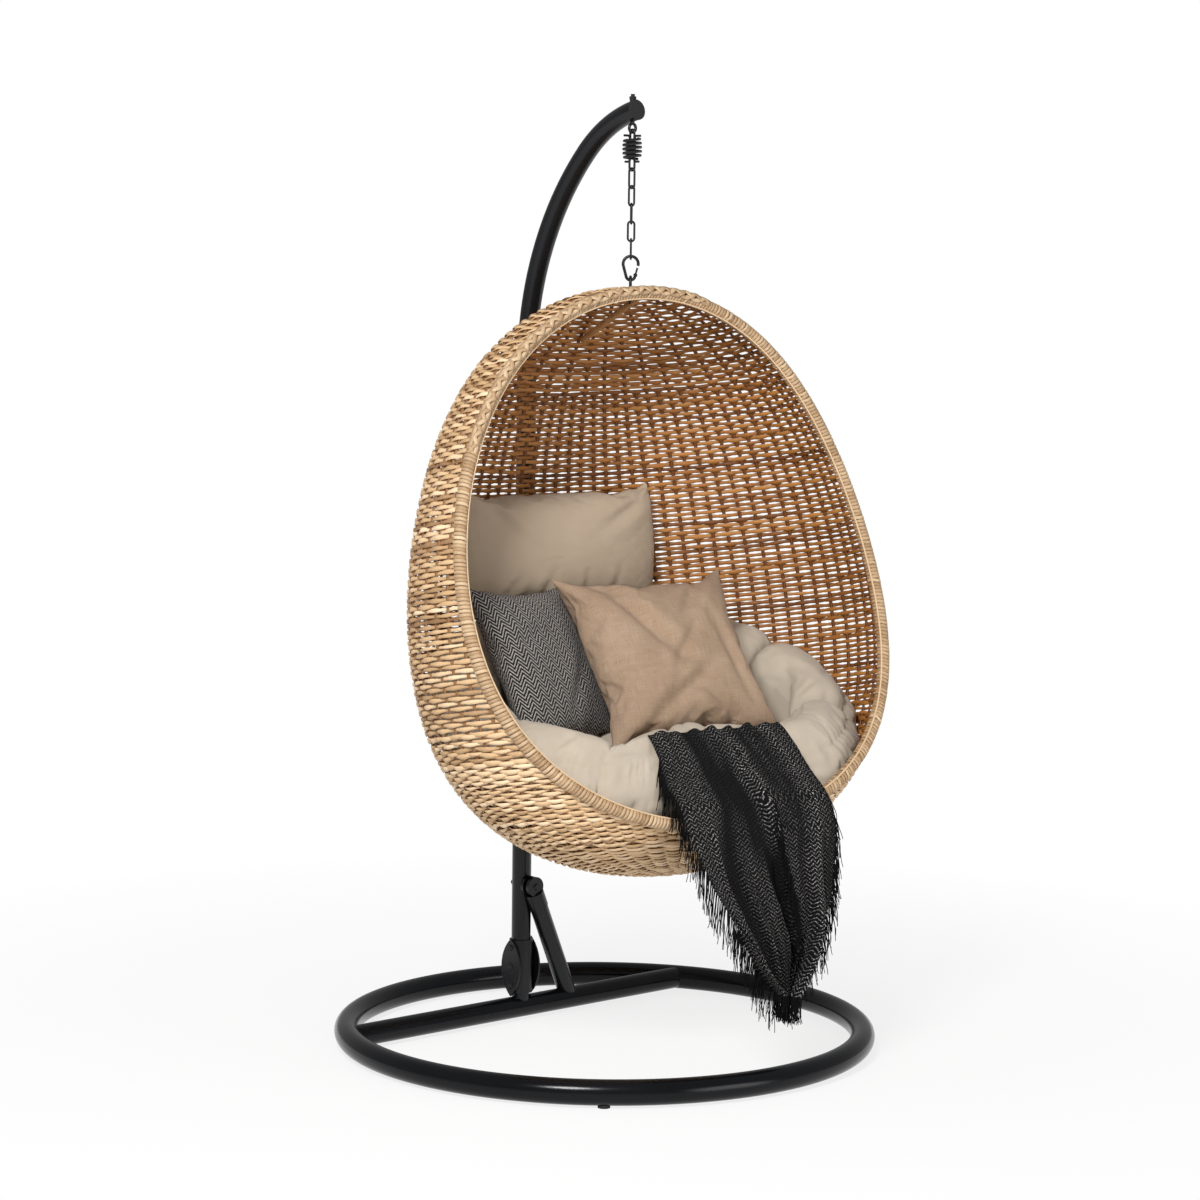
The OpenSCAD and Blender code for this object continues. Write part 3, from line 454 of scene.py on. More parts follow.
bands = {name: Tubes() for name in ("weave_top", "weave_middle", "weave_lower", "weave_base")}
for r, u in enumerate(rows):
    k = skip_at(u)
    dense = u < DENSE
    idx = np.arange(0, SUB * STAKES, k)
    th = stake_theta[idx]
    # open rows start and end in the rim; closed rows run the whole way round
    fine = np.linspace(math.pi / 2, math.pi / 2 + 2 * math.pi, 1441)
    ok = kept(fine, u)
    if ok.all():
        seq_t = np.concatenate([th, [th[0] + 2 * math.pi]])
        seq_i = np.concatenate([idx, [SUB * STAKES]])
    else:
        hi = fine[np.argmax(~ok)]
        lo = fine[len(ok) - 1 - np.argmax(~ok[::-1])] - 2 * math.pi
        tt = np.concatenate([th - 2 * math.pi, th, th + 2 * math.pi])
        ii = np.concatenate([idx - SUB * STAKES, idx, idx + SUB * STAKES])
        sel = (tt > lo + 0.004) & (tt < hi - 0.004)
        seq_t = np.concatenate([[lo], tt[sel], [hi]])
        seq_i = np.concatenate([[ii[sel][0] - k], ii[sel], [ii[sel][-1] + k]])
    n = len(seq_t)
    step = girth_at(u) / (SUB * STAKES) * k
    if dense:
        off = smooth_noise(n, step, 60, 1.6) + smooth_noise(n, step, 300, 1.2)
        w = DENSE_W * (1 + 0.16 * rng.normal()) + smooth_noise(n, step, 120, 1.0)
    else:
        off = smooth_noise(n, step, 60, 0.75) + smooth_noise(n, step, 400, 0.4)
        w = ROW_W * (1 + 0.06 * rng.normal()) + smooth_noise(n, step, 120, 0.6)
    rate = np.interp(-u, -uz_table, np.abs(np.gradient(uz_table, arc_table)))
    uu = np.clip(u + off * rate * min(1, (1 - abs(u)) * 12), -0.9999, 0.9999)
    # a row goes before one stake and behind the next
    sign = np.cos(math.pi * (seq_i / (SUB * k) + r))
    nrm = egg_normal(seq_t, uu, MID)
    p = egg(seq_t, uu, MID) + nrm * (sign * WEAVE)[:, None]
    tangent = unit(np.gradient(p, axis=0))
    wide = unit(np.cross(nrm, tangent))
    tone = np.clip(0.5 + 0.17 * rng.normal() + smooth_noise(n, step, 160, 0.10), 0, 1)
    if dense:
        tone = np.clip(tone + 0.10, 0, 1)
    ang = 2 * math.pi * (np.arange(6) + 0.5) / 6
    # painted shade on the inner face of each row, deeper where the row lies on the inner side of
    # the wall
    inner = np.clip(0.5 - np.sin(ang) * 0.9 - sign[:, None] * 0.25, 0, 1)
    name = ("weave_top" if u > 0.42 else "weave_middle" if u > -0.05
            else "weave_lower" if u > -0.62 else "weave_base")
    w = np.clip(w, 6.5, 12.0) * (0.79 + 0.31 * np.abs(sign))      # slits narrow towards the stakes
    bands[name].add(p, wide, nrm, w, ROW_T, tone=tone, inner=inner)

for name, tube in bands.items():
    ob = tube.build(name, cane, "cane")
    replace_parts(ob, "woven_shell")

stakes = Tubes()
for i in range(0, SUB * STAKES, SUB):
    th = stake_theta[i]
    dd = np.arange(14.0, total_arc - 9, 15.0)
    u = uz_of(dd)
    level = 1
    while (i // SUB) % (2 * level) == 0 and level < SKIP_MOST:
        level *= 2
    ok = kept(th, u, 0.0) & np.array([skip_at(x) <= level for x in u[::6].repeat(6)[:len(u)]])
    edges = np.flatnonzero(np.diff(np.concatenate([[0], ok.astype(int), [0]])))
    for a, b in zip(edges[::2], edges[1::2]):
        if b - a < 3:
            continue
        uu = u[a:b]
        p = egg(th, uu, STAKE_IN)
        nrm = egg_normal(np.full(len(uu), th), uu, STAKE_IN)
        side = unit(np.cross(nrm, unit(np.gradient(p, axis=0))))
        p = p + side * smooth_noise(len(uu), 15, 180, 0.9)[:, None]
        tone = np.full(len(uu), np.clip(-0.22 + 0.08 * rng.normal(), -0.4, 0))
        ang = 2 * math.pi * (np.arange(6) + 0.5) / 6
        # painted shade on the inner face of each stake
        inner = np.broadcast_to(np.clip(0.5 - np.sin(ang) * 0.9, 0, 1), (len(uu), 6))
        stakes.add(p, side, nrm, STAKE_W, STAKE_T, tone=tone, inner=inner)
ob = stakes.build("weave_stakes", cane, "cane")
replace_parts(ob, "woven_shell")

# knot that closes the weave underneath
button = Tubes()
s = np.linspace(0, 2 * math.pi * 3, 73)
rad = 3.0 + s / s[-1] * 10
base = egg(0.0, -1.0, 4.0)
down = egg_normal(np.array([0.3]), np.array([-0.999]), 4.0)[0]
ax1 = unit(np.cross(down, [0.0, 1.0, 0.0]))
ax2 = np.cross(down, ax1)
p = base + rad[:, None] * (np.cos(s)[:, None] * ax1 + np.sin(s)[:, None] * ax2)
radial = unit(p - base)
# a little painted shade on the knot under the egg
button.add(p, radial, np.broadcast_to(down, p.shape), 5.0, 3.0, tone=0.5, inner=0.2)
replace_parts(button.build("weave_button", cane, "cane"), "woven_shell")

# ---------- rim ----------
a = np.radians(np.arange(0, 360, 0.5))
hoop = egg_aim(a, rim_angle(a), MID)
hoop, hoop_len = resample(hoop, 2.0, closed=True)
n = len(hoop)
tan_h = unit(np.roll(hoop, -1, axis=0) - np.roll(hoop, 1, axis=0))
front = np.array([0.0, -1.0, 0.0])
out_h = unit(np.cross(tan_h, front))
centre = hoop.mean(axis=0)
if np.einsum("ij,ij->i", out_h, hoop - centre).mean() < 0:
    out_h = -out_h
front_h = unit(np.cross(out_h, tan_h))
if front_h[:, 1].mean() > 0:
    front_h = -front_h
hoop_s = np.arange(n) * hoop_len / n


def along_rim(s):
    """Centre, tangent, outward and forward axes at distances s along the hoop."""
    s = np.mod(s, hoop_len)
    x = np.concatenate([hoop_s, [hoop_len]])
    get = lambda v: np.stack([np.interp(s, x, np.append(v[:, i], v[0, i])) for i in range(3)],
                             axis=-1)
    return get(hoop), unit(get(tan_h)), unit(get(out_h)), unit(get(front_h))


PITCH = 7.4
turns = int(hoop_len / PITCH)
per = 14
s = np.linspace(0, hoop_len, turns * per + 1)
phase = 2 * math.pi * np.arange(turns * per + 1) / per
c, t, o, f = along_rim(s)
radial = np.cos(phase)[:, None] * o + np.sin(phase)[:, None] * f
wob = np.repeat(rng.normal(size=turns + 1), per)[:len(s)]
p = c + radial * (BINDING_R - 1.0 + 0.25 * wob)[:, None] + t * (0.5 * np.roll(wob, 5))[:, None]
tone = np.clip(0.62 + 0.13 * wob, 0, 1)
# painted shade on the side of each wrap that faces into the basket
inward_shade = np.clip(-np.cos(phase) * 0.8 - 0.1, 0, 1)
wrap = Tubes()
wrap.add(p, t, radial, 7.6, 2.1, tone=tone, inner=inward_shade * 0.6)
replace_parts(wrap.build("rim_wrap", pale_cane, "pale_cane"), "rim_binding")
# the core's dark tone and its inward darkening paint the shade that shows in the gaps between the
# wraps
core = Tubes(12)
q = np.arange(0, n, 6)
core.add(hoop[q], out_h[q], front_h[q], 22.4, 22.4, closed=True, tone=0.25, inner=0.6)
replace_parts(core.build("rim_core", pale_cane, "pale_cane"), "rim_binding")

# plait of flat strands over the upper left of the rim, and a pale reed along its inner edge, whose
# light tone also paints the highlight there
i_top = int(np.argmax(hoop[:, 2]))
left = hoop[(i_top + 5) % n, 0] < hoop[i_top, 0]
way = 1.0 if left else -1.0
s_top = hoop_s[i_top]


def rim_strands(name, s, mat, slot, strands):
    tube = Tubes(6)
    c, t, o, f = along_rim(s)
    for where, width, thick, tone in strands:
        ang, rad = where(s)
        radial = np.cos(ang)[:, None] * o + np.sin(ang)[:, None] * f
        p = c + radial * rad[:, None]
        tang = unit(np.gradient(p, axis=0))
        side = unit(np.cross(radial, tang))
        tube.add(p, side, radial, width, thick, tone=tone, inner=0.0)
    ob = tube.build(name, mat, slot)
    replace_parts(ob, "rim_binding")
    return ob


PLAIT_LEN, PLAIT_WAVE = 560.0, 74.0
s_plait = s_top + way * np.arange(-150.0, PLAIT_LEN, 3.0)
lift = (np.clip((s_plait - s_plait[0]) * way / 40, 0, 1)
        * np.clip((s_plait[-1] - s_plait) * way / 40, 0, 1))


def plait_strand(k):
    def where(s):
        w = 2 * math.pi * (s * way / PLAIT_WAVE + k / 3)
        return 0.95 + 0.56 * np.sin(w), BINDING_R - 0.6 + lift * (2.6 + 2.3 * np.cos(2 * w))
    return where


rim_strands("rim_plait", s_plait, pale_cane, "pale_cane",
            [(plait_strand(k), 9.6, 2.4, 0.45 + 0.16 * k) for k in range(3)])
# painted highlight: the reed's pale tone also stands in for light catching the rim's inner corner
s_reed_highlight = np.arange(0.0, hoop_len + 4, 6.0)
rim_strands("rim_reed_highlight", s_reed_highlight, pale_cane, "pale_cane",
            [(lambda s: (np.full(len(s), 2.55), np.full(len(s), BINDING_R + 0.3)), 4.2, 3.2, 0.92)])

# the bar under the crown is wound with cane
BAR_R = 6.0
top_rim = rim_angle(np.radians([90.0]))[0]
ends = egg_aim(np.radians([90.0, 90.0]), np.array([math.radians(62), top_rim - math.radians(3)]),
               WALL + BAR_R + 0.5)
bar_len = np.linalg.norm(ends[1] - ends[0])
s = np.linspace(0, 1, int(bar_len / 5.6) * 10)
ang = 2 * math.pi * np.arange(len(s)) / 10
run = unit(ends[1] - ends[0])
across = unit(np.cross(run, [1.0, 0.0, 0.0]))
radial = np.cos(ang)[:, None] * np.array([1.0, 0.0, 0.0]) + np.sin(ang)[:, None] * across
p = ends[0] + (ends[1] - ends[0]) * s[:, None] + radial * (BAR_R + 0.2)
bar = Tubes()
# painted shade: the wrap is darkened as it hangs inside the crown
bar.add(p, np.broadcast_to(run, p.shape), radial, 5.9, 1.6, tone=0.42, inner=0.8)
bar_wrap = bar.build("crown_bar_wrap", cane, "cane")
core = Tubes(12)
core.add(np.array([ends[0], ends[1]]), np.tile([1.0, 0, 0], (2, 1)), np.tile(across, (2, 1)),
         2 * BAR_R, 2 * BAR_R, tone=0.3, inner=0.8)
bar_core = core.build("crown_bar_core", black_coat, "black_steel")
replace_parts(bar_wrap, "crown_bar")
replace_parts(bar_core, "crown_bar")


# ---------- cushions ----------
def turned(p, turn):
    for axis, deg in enumerate(turn):
        c, s = math.cos(math.radians(deg)), math.sin(math.radians(deg))
        a, b = [(1, 2), (2, 0), (0, 1)][axis]
        q = p.copy()
        q[:, a], q[:, b] = c * p[:, a] - s * p[:, b], s * p[:, a] + c * p[:, b]
        p = q
    return p


def simulate(name, verts, faces, pressure, frames, bending, tension, held=None, slack=0.0):
    """Cloth under pressure, without gravity. Returns the points where it came to rest.

    held gives the points that stay, and slack how much longer the cloth is than its shape.
    """
    me = bpy.data.meshes.new(name)
    me.from_pydata((verts / 1000).tolist(), [], faces)
    me.update()
    ob = bpy.data.objects.new(name, me)
    bpy.context.scene.collection.objects.link(ob)
    cloth = ob.modifiers.new("cloth", "CLOTH")
    st = cloth.settings
    st.quality, st.mass, st.air_damping = 6, 0.3, 2.0
    st.tension_stiffness = st.compression_stiffness = tension
    st.shear_stiffness, st.bending_stiffness = tension * 0.5, bending
    st.use_pressure, st.uniform_pressure_force = True, pressure
    st.effector_weights.gravity = 0.0
    st.shrink_min = -slack
    if held is not None:
        group = ob.vertex_groups.new(name="held")
        group.add(np.flatnonzero(held).tolist(), 1.0, "ADD")
        st.vertex_group_mass = "held"
    cloth.collision_settings.use_collision = False
    cloth.point_cache.frame_start, cloth.point_cache.frame_end = 1, frames
    for f in range(1, frames + 1):
        bpy.context.scene.frame_set(f)
    got = ob.evaluated_get(bpy.context.evaluated_depsgraph_get()).to_mesh()
    out = np.empty(len(got.vertices) * 3)
    got.vertices.foreach_get("co", out)
    bpy.context.scene.frame_set(1)
    bpy.data.objects.remove(ob)
    return out.reshape(-1, 3) * 1000


def grid_quads(q):
    """Four corners of each cell in a grid of point numbers."""
    return np.stack([q[:-1, :-1], q[1:, :-1], q[1:, 1:], q[:-1, 1:]], axis=-1).reshape(-1, 4)


def pillow(name, w, h, t, drawn, at, turn, mat, pressure=5.0, dent=None, grid=60):
    """Two panels sewn round their edge and blown up, then sized to the solid they replace."""
    g = np.linspace(-1, 1, grid + 1)
    g = np.sign(g) * (1 - (1 - np.abs(g)) ** 1.15)
    x, y = np.meshgrid(g, g, indexing="ij")
    soft = lambda q, o: q * (1 - drawn * (1 - o * o))
    px, py = w / 2 * soft(x, y), h / 2 * soft(y, x)
    bulge = np.maximum(0, (1 - np.abs(x) ** 2.2) * (1 - np.abs(y) ** 2.2)) ** 0.62
    rim = (np.abs(x) > 0.9999) | (np.abs(y) > 0.9999)
    m = grid + 1
    front = np.arange(m * m).reshape(m, m)
    back = front + m * m
    back[rim] = front[rim]
    rough = rng.normal(size=(m, m)) * 0.6
    a = np.stack([px, -bulge * t * 0.42 + rough * ~rim, py], axis=-1).reshape(-1, 3)
    b = np.stack([px, bulge * t * 0.42 + rough * ~rim, py], axis=-1).reshape(-1, 3)
    verts = np.vstack([a, b])
    faces = np.vstack([grid_quads(front), grid_quads(back)[:, ::-1]])
    used = np.unique(faces)
    remap = np.full(len(verts), -1)
    remap[used] = np.arange(len(used))
    verts, faces = verts[used], remap[faces]
    u = np.concatenate([px.ravel(), px.ravel() + 500])[used]
    v = np.concatenate([py.ravel(), py.ravel()])[used]
    verts = simulate(name + "_cloth", verts, faces.tolist(), pressure, 18, 0.3, 12)
    for axis, size in ((0, w), (1, t), (2, h)):
        lo, hi = verts[:, axis].min(), verts[:, axis].max()
        verts[:, axis] = (verts[:, axis] - (lo + hi) / 2) * (size / (hi - lo))
    if dent is not None:
        verts = dent(verts, w, h, t)
    p = turned(verts, turn) + np.array(at)
    ob = new_object(name, place(p), faces.tolist(), mat, floats={"u": u, "v": v})
    ob.modifiers.new("smooth", "SUBSURF").levels = 1
    ob.modifiers["smooth"].render_levels = 1
    return ob


def soft_folds(folds):
    """Shallow creases across a pillow: centre, direction in degrees, length, depth, width."""
    def apply(p, w, h, t):
        q = p.copy()
        for x0, z0, deg, length, depth, wide in folds:
            c, s = math.cos(math.radians(deg)), math.sin(math.radians(deg))
            along = (p[:, 0] - x0) * c + (p[:, 2] - z0) * s
            across = -(p[:, 0] - x0) * s + (p[:, 2] - z0) * c + 10 * np.sin(along / 55)
            d = depth * np.exp(-(across / wide) ** 2) * np.exp(-(along / length) ** 2 * 2)
            d -= 0.45 * depth * np.exp(-((across - 2 * wide) / (1.4 * wide)) ** 2) \
                * np.exp(-(along / length) ** 2 * 2)
            q[:, 1] += np.where(p[:, 1] < 0, d, 0)
        return q
    return apply


head = pillow("head_pad", 474, 260, 111, -0.05, (-46, 182, -539), (-4, 0, 0), taupe,
              3.0,
              dent=soft_folds([(-150, 60, -35, 90, 8, 12), (150, 70, 215, 90, 8, 12),
                               (-60, -85, 75, 60, 5, 9), (40, -90, 100, 60, 6, 8),
                               (110, -85, 80, 55, 5, 9), (-140, -80, 60, 60, 5, 9)]))
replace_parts(head, "head_cushion")
dark = pillow("herringbone_pillow", 346, 350, 84, -0.02, (-198, -3, -752), (-28, 4, 25), charcoal,
              pressure=4.0,
              dent=soft_folds([(40, -60, 55, 120, 7, 16), (-60, 50, 20, 100, 5, 14)]))
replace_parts(dark, "dark_pillow")
tan = pillow("linen_pillow", 418, 400, 130, 0.0, (63, -62, -745), (-36, 0, 0), linen,
             dent=soft_folds([(-70, 70, -50, 170, 17, 17), (70, 110, 235, 110, 13, 13),
                              (-30, -100, 38, 150, 16, 15), (115, -30, -72, 120, 12, 13),
                              (10, 0, 60, 110, 12, 12), (-120, -30, 10, 80, 9, 11),
                              (60, -130, 150, 90, 12, 12), (-100, 140, -20, 80, 8, 10)]))
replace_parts(tan, "tan_pillow")


# ---------- seat ----------
def fits(p, t):
    c, s = math.cos(LEAN), math.sin(LEAN)
    y, z = p[..., 1] * c - p[..., 2] * s, p[..., 1] * s + p[..., 2] * c
    uz = (z + HALF_H) / (HALF_H - t)
    k = 1 - TAPER * uz - FLAT * (1 - uz * uz)
    ux, uy = p[..., 0] / ((HALF_W - t) * k), (y - BACK) / ((HALF_D - t) * k)
    return (ux * ux + uy * uy + uz * uz < 1) & (p[..., 1] > mouth_y(p[..., 2]) + BINDING_R)


def roll_z(y):
    return SEAT_SLOPE * y - ROLL_TOP - 0.55 * ROLL_D


def seat_point(a, r, h):
    y = SEAT_Y + r * np.sin(a)
    return np.stack([r * np.cos(a), y, roll_z(y) + h], axis=-1)


def reach(a):
    lo, hi = np.zeros_like(a), np.full_like(a, 600.0)
    for _ in range(24):
        m = (lo + hi) / 2
        ok = fits(seat_point(a, m, 0), WALL + 7)
        lo, hi = np.where(ok, m, lo), np.where(ok, hi, m)
    return (lo + hi) / 2


SEAT_N = 480                            # points round the seat
CREASE_FIRST, CREASE_STEP = 13, 30      # degrees
ROLL_FROM, ROLL_TO, ROLL_STEP = 168, -40, 5.0       # degrees round the roll, from its inside
SEAM_AT, INNER = 42, 9                  # where the seam is, and the rings before the roll
SEAM_ROW = (ROLL_FROM - SEAM_AT) / ROLL_STEP
MOST_SWELL = 16                         # how far the cloth may move from its first shape
deg = np.arange(SEAT_N) * 360 / SEAT_N + CREASE_FIRST
a = np.radians(deg)
far = reach(a)
far = np.real(np.fft.ifft(np.fft.fft(far) * (np.abs(np.fft.fftfreq(SEAT_N, 1 / SEAT_N)) < 40)))
part = ((deg - CREASE_FIRST) % CREASE_STEP) / CREASE_STEP - 0.5     # -0.5 and 0.5 at the creases
near = (0.5 - np.abs(part)) * CREASE_STEP * math.pi / 180 * (far - ROLL_D / 2)  # mm to a crease
which = np.round((deg - CREASE_FIRST) / CREASE_STEP).astype(int) % 12
crease_depth = np.array([30, 32, 20, 14, 12, 14, 10, 7, 7, 12, 30, 30.0])[which]
crease = crease_depth * np.exp(-(near / 12.0) ** 1.2)
belly = 5.0 * (1 - (2 * part) ** 4)
top_t = np.radians(np.arange(ROLL_FROM, ROLL_TO, -ROLL_STEP))
rings, kinds = [], []
for f, h in [(0.02, -60), (0.14, -60), (0.28, -61), (0.42, -63), (0.56, -66), (0.7, -68),
             (0.82, -66), (0.91, -58), (0.97, -40)]:
    rings.append(seat_point(a, f * (far - ROLL_D), h))
    kinds.append(0.0)
for t in top_t:
    bite = np.clip(0.35 + 0.9 * math.sin(t), 0.25, 1.1)
    r = ROLL_D / 2 - crease * bite + belly - 3.5
    c = far - ROLL_D / 2 - 2.7
    seam = 4.5 * math.exp(-((math.degrees(t) - 43) / 4.0) ** 2)
    rings.append(seat_point(a, c + (r - seam) * math.cos(t), (r - seam) * math.sin(t)))
    kinds.append(1.0)
for f in (0.9, 0.8, 0.66, 0.5, 0.3, 0.1):
    r = f * (far - 4)
    p = seat_point(a, r, 0.0)
    low = p[:, 2] - (1.3 + 0.7 * np.sin(a)) * ROLL_D * (1 - f * f) - 30
    lo, hi = np.full(SEAT_N, -1200.0), p[:, 2].copy()
    for _ in range(22):
        m = (lo + hi) / 2
        ok = fits(np.stack([p[:, 0], p[:, 1], m], axis=-1), 16.0)
        lo, hi = np.where(ok, lo, m), np.where(ok, m, hi)
    rings.append(np.stack([p[:, 0], p[:, 1], np.maximum((lo + hi) / 2, low)], axis=-1))
    kinds.append(0.0)
R = np.array(rings)
m_r = len(R)
i = np.arange(m_r - 1)[:, None]
j = np.arange(SEAT_N)[None, :]
j_next = (j + 1) % SEAT_N
quads = np.stack([i * SEAT_N + j, i * SEAT_N + j_next,
                  (i + 1) * SEAT_N + j_next, (i + 1) * SEAT_N + j], axis=-1).reshape(-1, 4)
# wrinkles: puckers that run out of the creases and the seam, and slack folds along the roll
nrm = unit(np.cross(np.roll(R, -1, axis=1) - np.roll(R, 1, axis=1), np.gradient(R, axis=0)))
if (nrm[12, 0] @ (R[12, 0] - R[:, 0].mean(axis=0))) < 0:
    nrm = -nrm
aa, tt = np.meshgrid(a, np.arange(m_r), indexing="xy")
wr = np.zeros((m_r, SEAT_N))
for _ in range(170):
    a0, t0 = rng.uniform(0, 2 * math.pi), rng.uniform(7, 48)
    tilt, length, wide = rng.normal() * 0.8, rng.uniform(35, 110), rng.uniform(3.5, 8)
    du = ((aa - a0 + math.pi) % (2 * math.pi) - math.pi) * 260
    dv = (tt - t0) * 6.4
    along = du * math.cos(tilt) + dv * math.sin(tilt)
    across = -du * math.sin(tilt) + dv * math.cos(tilt) + 6 * np.sin(along / 30 + a0)
    wr -= rng.uniform(0.8, 2.8) * np.exp(-(across / wide) ** 2 - (along / length) ** 2)
pucker = (np.exp(-((tt - INNER - SEAM_ROW) / 3.0) ** 2)
          * np.sin(aa * 110 + 3 * np.sin(aa * 23)) * 1.5)
wr += pucker * np.array(kinds)[:, None]
soft = np.array(kinds)[:, None] * 0.8 + 0.2
R = R + nrm * (wr * soft)[..., None]
held = np.zeros((m_r, SEAT_N), bool)
held[:3], held[-5:] = True, True
held[INNER:-6] |= (near < 2.0)[None, :] & (crease_depth > 9)[None, :]
held[INNER + int(SEAM_ROW)] = True
flat = R.reshape(-1, 3)
soft_seat = simulate("seat_cloth", flat, quads[:, ::-1].tolist(), 1.8, 14, 0.10, 8,
                     held.reshape(-1), 0.075)
move = soft_seat - flat
far_moved = np.linalg.norm(move, axis=1, keepdims=True)
move *= np.minimum(1, MOST_SWELL / np.maximum(far_moved, 1e-6))
# each point moves as far as it can inside the wall
share = np.zeros((len(flat), 1))
for f in (0.2, 0.4, 0.6, 0.8, 1.0):
    share[fits(flat + f * move, WALL + 1.5) & (share[:, 0] > f - 0.21)] = f
R = (flat + share * move).reshape(R.shape)
u = np.broadcast_to(lengths(R[20]), (m_r, SEAT_N))
v = np.vstack([np.zeros((1, SEAT_N)), np.linalg.norm(np.diff(R, axis=0), axis=2)]).cumsum(axis=0)
faces = quads.tolist() + [list(range(SEAT_N))[::-1], list(range((m_r - 1) * SEAT_N, m_r * SEAT_N))]
cen = R.reshape(-1, 3).mean(axis=0)
tri = R.reshape(-1, 3)[quads[:, :3]]
outward = np.cross(tri[:, 1] - tri[:, 0], tri[:, 2] - tri[:, 0])
if np.einsum("ij,ij->i", outward, tri[:, 0] - cen).sum() < 0:
    faces = [q[::-1] for q in faces]
seat = new_object("seat_pad", place(R.reshape(-1, 3)), faces, cream,
                  floats={"u": u.reshape(-1), "v": v.reshape(-1)})
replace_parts(seat, "seat_cushion")

# ---------- throw ----------
# the throw's middle line: forward and down over the seat's roll, then hanging
PATH = np.array([(-268, -862), (-290, -878), (-314, -905), (-342, -948), (-389, -990),
                 (-405, -1040), (-407, -1120), (-408, -1200), (-408, -1290), (-407, -1362)], float)
path3 = np.column_stack([np.zeros(len(PATH)), PATH])
spine, throw_len = resample(path3, 5.0)
zs = spine[:, 2]
left_x = np.interp(-zs, [846, 948, 1040, 1128, 1220, 1303, 1362],
                   [-128, -138, -132, -92, -40, 20, 80])
right_x = np.interp(-zs, [846, 948, 1040, 1183, 1240, 1297, 1362],
                    [176, 206, 216, 208, 188, 150, 96])
cols = 84
q = np.linspace(0, 1, cols + 1)
hang = np.clip((-zs - 985) / 260, 0, 1)
lie = np.clip((-zs - 850) / 60, 0, 1) * 0.16
d = unit(np.gradient(spine, axis=0))
nrm2 = np.stack([np.zeros(len(d)), d[:, 2], -d[:, 1]], axis=-1)
nrm2[nrm2[:, 1] > 0] *= -1
nrm2 = unit(nrm2)
X = left_x[:, None] + (right_x - left_x)[:, None] * q[None, :]
phase = 2 * math.pi * (2.6 * q[None, :] + 0.12 * np.sin(3 * zs / 200)[:, None])
fold = (np.sin(phase) + 0.42 * np.sin(2.3 * phase + 1.1)
        + 0.2 * np.sin(4.9 * phase + zs[:, None] / 60))
crumple = np.clip(1 - np.abs(zs + 872) / 60, 0, 1)
down = np.arange(len(zs))[:, None]
lump = sum(rng.uniform(0.4, 1)
           * np.sin(2 * math.pi * (q[None, :] * rng.uniform(2, 8) + down * rng.uniform(-0.03, 0.03))
                    + rng.uniform(0, 6)) for _ in range(7))
amp = (hang * 20 + lie * 15)[:, None]
stand = amp * (fold + 0.6) + 1.5 + (0.35 + crumple[:, None]) * 2.2 * np.clip(lump + 1.6, 0, 5)
# a deep fold down the middle, whose outer edge lies over the rest
deep = np.clip((-zs - 872) / 110, 0, 1)[:, None]
valley = (0.47 + 0.13 * np.clip((-zs - 880) / 400, 0, 1))[:, None]
past = q[None, :] - valley
over = np.clip(past / 0.045, 0, 1)
stand = stand + deep * (30 * over * np.exp(-np.clip(past, 0, 1) / 0.26) + 4
                        - 9 * np.exp(-((past + 0.05) / 0.08) ** 2))
stand = np.maximum(stand, 1.2)
# painted shade and highlight: the pale yarn is dimmed down in the folds and beside the deep fold,
# and brightened on the deep fold's ridge
lit = np.clip(0.42 + 0.30 * fold - 0.75 * deep * np.exp(-((past + 0.055) / 0.07) ** 2)
              + 0.30 * deep * np.exp(-((past - 0.09) / 0.07) ** 2), 0.04, 1)
Y = spine[:, 1][:, None] + nrm2[:, 1][:, None] * stand * np.where(hang > 0.02, 1, .6)[:, None]
Z = spine[:, 2][:, None] + nrm2[:, 2][:, None] * stand
X = X + (hang[:, None] * 5) * np.cos(phase)
cloth = np.stack([X, Y, Z], axis=-1)
rows_n = len(spine)
idx = np.arange(rows_n * (cols + 1)).reshape(rows_n, cols + 1)
tf = grid_quads(idx)
uu = np.broadcast_to(q[None, :] * 360, (rows_n, cols + 1)).reshape(-1)
vv = np.repeat(np.linspace(0, throw_len, rows_n), cols + 1)
throw = new_object("throw_cloth", place(cloth.reshape(-1, 3)), tf.tolist(), black_wool,
                   floats={"u": uu, "v": vv, "lit": lit.reshape(-1)})
thick = throw.modifiers.new("thickness", "SOLIDIFY")
thick.thickness, thick.offset = 0.0025, 0.0
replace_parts(throw, "throw")

fringe = Tubes(5)


def strand(p0, out, length):
    """One thread of the fringe, which leaves the cloth along out and hangs."""
    k = 8
    s = np.linspace(0, 1, k)
    sway = rng.normal(size=3) * np.array([5.0, 2.0, 0.0])
    wave = rng.uniform(0.8, 2.6) * np.sin(s * rng.uniform(5, 11) + rng.uniform(0, 6))
    p = p0 + out * (1 - (1 - s) ** 2)[:, None] * length * 0.35
    p = p + np.array([0, 0, -1.0]) * (s ** 1.15 * length * 0.9)[:, None] + sway * (s ** 2)[:, None]
    p[:, 0] += wave * s
    tang = unit(np.gradient(p, axis=0))
    side = unit(np.cross(tang, [0.0, 1.0, 0.15]))
    thin = 2.1 - 0.7 * s
    fringe.add(p, side, np.cross(side, tang), thin, thin, u=p[:, 0] * 0.7, v=p[:, 2])


def hang_fringe(line, step, out, shortest, longest):
    points, _ = resample(line, step)
    for p0 in points:
        lean = np.array(out) * rng.uniform(0.3, 1.3)
        strand(p0 + rng.normal(size=3) * 0.8, lean, rng.uniform(shortest, longest))


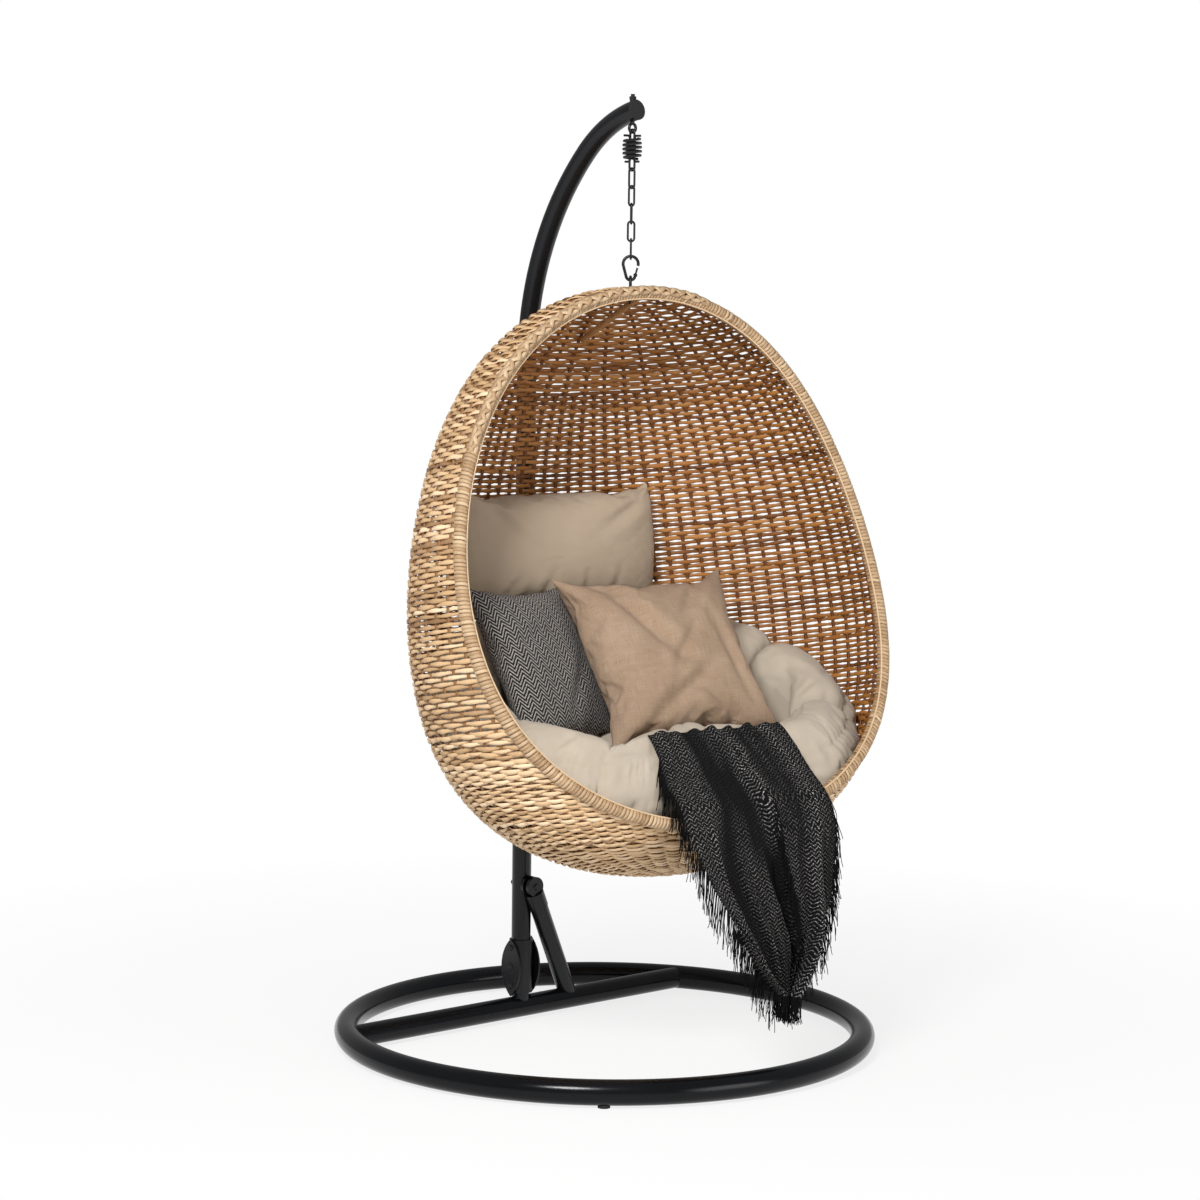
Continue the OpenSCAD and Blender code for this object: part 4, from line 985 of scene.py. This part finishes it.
on_roll = np.flatnonzero((zs < -900) & (zs > -1040))
below = np.flatnonzero(zs <= -1040)
hang_fringe(cloth[on_roll, 0], 3.0, (-0.35, -0.45, 0), 50, 80)
hang_fringe(cloth[below, 0], 2.8, (-0.25, -0.12, 0), 55, 90)
hang_fringe(cloth[on_roll, cols], 3.4, (0.45, -0.45, 0), 35, 60)
hang_fringe(cloth[below, cols], 2.8, (0.45, -0.10, 0), 45, 85)
inner_rows = np.flatnonzero((zs < -890) & (zs > -1270))
inner_cols = ((valley[inner_rows, 0] + 0.07) * cols).astype(int)
hang_fringe(cloth[inner_rows, inner_cols] + np.array([0, -4.0, 0]), 3.6, (-0.25, -0.22, 0), 45, 80)
hang_fringe(cloth[-1], 2.0, (0.0, -0.05, 0), 45, 62)
threads = fringe.build("throw_fringe", black_wool, "charcoal_throw")
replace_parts(threads, "throw")


# ---------- floor, light and camera ----------
def white_ground():
    m, nt, b = material("ground")
    b.inputs["Base Color"].default_value = rgb(0.86, 0.86, 0.86)
    b.inputs["Roughness"].default_value = 0.9
    out = nt.nodes["Material Output"]
    emit = node(nt, "ShaderNodeEmission", {"Color": rgb(1, 1, 1), "Strength": 1.0})
    far_off = node(nt, "ShaderNodeVectorMath", {0: object_coords(nt)},
                   operation="LENGTH").outputs["Value"]
    fade = node(nt, "ShaderNodeMapRange", {"Value": far_off, "From Min": 0.5, "From Max": 2.2,
                                           "To Min": 0.80, "To Max": 1.0}).outputs["Result"]
    ray = node(nt, "ShaderNodeLightPath")
    seen = math_node(nt, "MAXIMUM", ray.outputs["Is Camera Ray"],
                     math_node(nt, "MAXIMUM", ray.outputs["Is Glossy Ray"],
                               ray.outputs["Is Transmission Ray"]))
    blend_f = math_node(nt, "MULTIPLY", seen, fade)
    mx = node(nt, "ShaderNodeMixShader",
              {0: blend_f, 1: b.outputs["BSDF"], 2: emit.outputs["Emission"]})
    nt.links.new(mx.outputs[0], out.inputs["Surface"])
    return m


me = bpy.data.meshes.new("floor")
me.from_pydata([(-9, -9, 0), (9, -9, 0), (9, 9, 0), (-9, 9, 0)], [], [(0, 1, 2, 3)])
me.materials.append(white_ground())
floor = bpy.data.objects.new("floor", me)
bpy.context.scene.collection.objects.link(floor)

world = bpy.data.worlds.new("world")
bpy.context.scene.world = world
world.use_nodes = True
nt = world.node_tree
bg = nt.nodes["Background"]
ray = node(nt, "ShaderNodeLightPath")
seen = math_node(nt, "MAXIMUM", ray.outputs["Is Camera Ray"], ray.outputs["Is Transmission Ray"])
bg.inputs["Color"].default_value = rgb(1, 1, 1)
strength = node(nt, "ShaderNodeMapRange", {"Value": seen, "To Min": 0.36, "To Max": 1.0})
nt.links.new(strength.outputs["Result"], bg.inputs["Strength"])


def area_light(name, at, to, size, power):
    lamp = bpy.data.lights.new(name, "AREA")
    lamp.shape, lamp.size, lamp.energy = "DISK", size, power
    ob = bpy.data.objects.new(name, lamp)
    bpy.context.scene.collection.objects.link(ob)
    fwd = unit(np.array(to, float) - np.array(at, float))
    right = unit(np.cross(fwd, [0, 0, 1.0]))
    up = np.cross(right, fwd)
    ob.matrix_world = Matrix([[right[i], up[i], -fwd[i], at[i]] for i in range(3)] + [[0, 0, 0, 1]])
    return ob


area_light("key", (-3.5, -2.2, 3.6), (0, 0, 1.0), 1.3, 235)
area_light("fill", (0.7, -4.4, 0.75), (0, 0, 1.35), 2.6, 64)

camera = bpy.data.cameras.new("camera")
camera.lens, camera.sensor_width = 104.17, 36.0
cam = bpy.data.objects.new("camera", camera)
bpy.context.scene.collection.objects.link(cam)
cam.matrix_world = Matrix([[0.7448, 0.0628, -0.6643, -4.65803],
                           [-0.6672, 0.0884, -0.7396, -5.15657],
                           [0.0122, 0.9941, 0.1077, 1.66126],
                           [0, 0, 0, 1]])
bpy.context.scene.camera = cam
bpy.context.scene.view_settings.view_transform = "Standard"

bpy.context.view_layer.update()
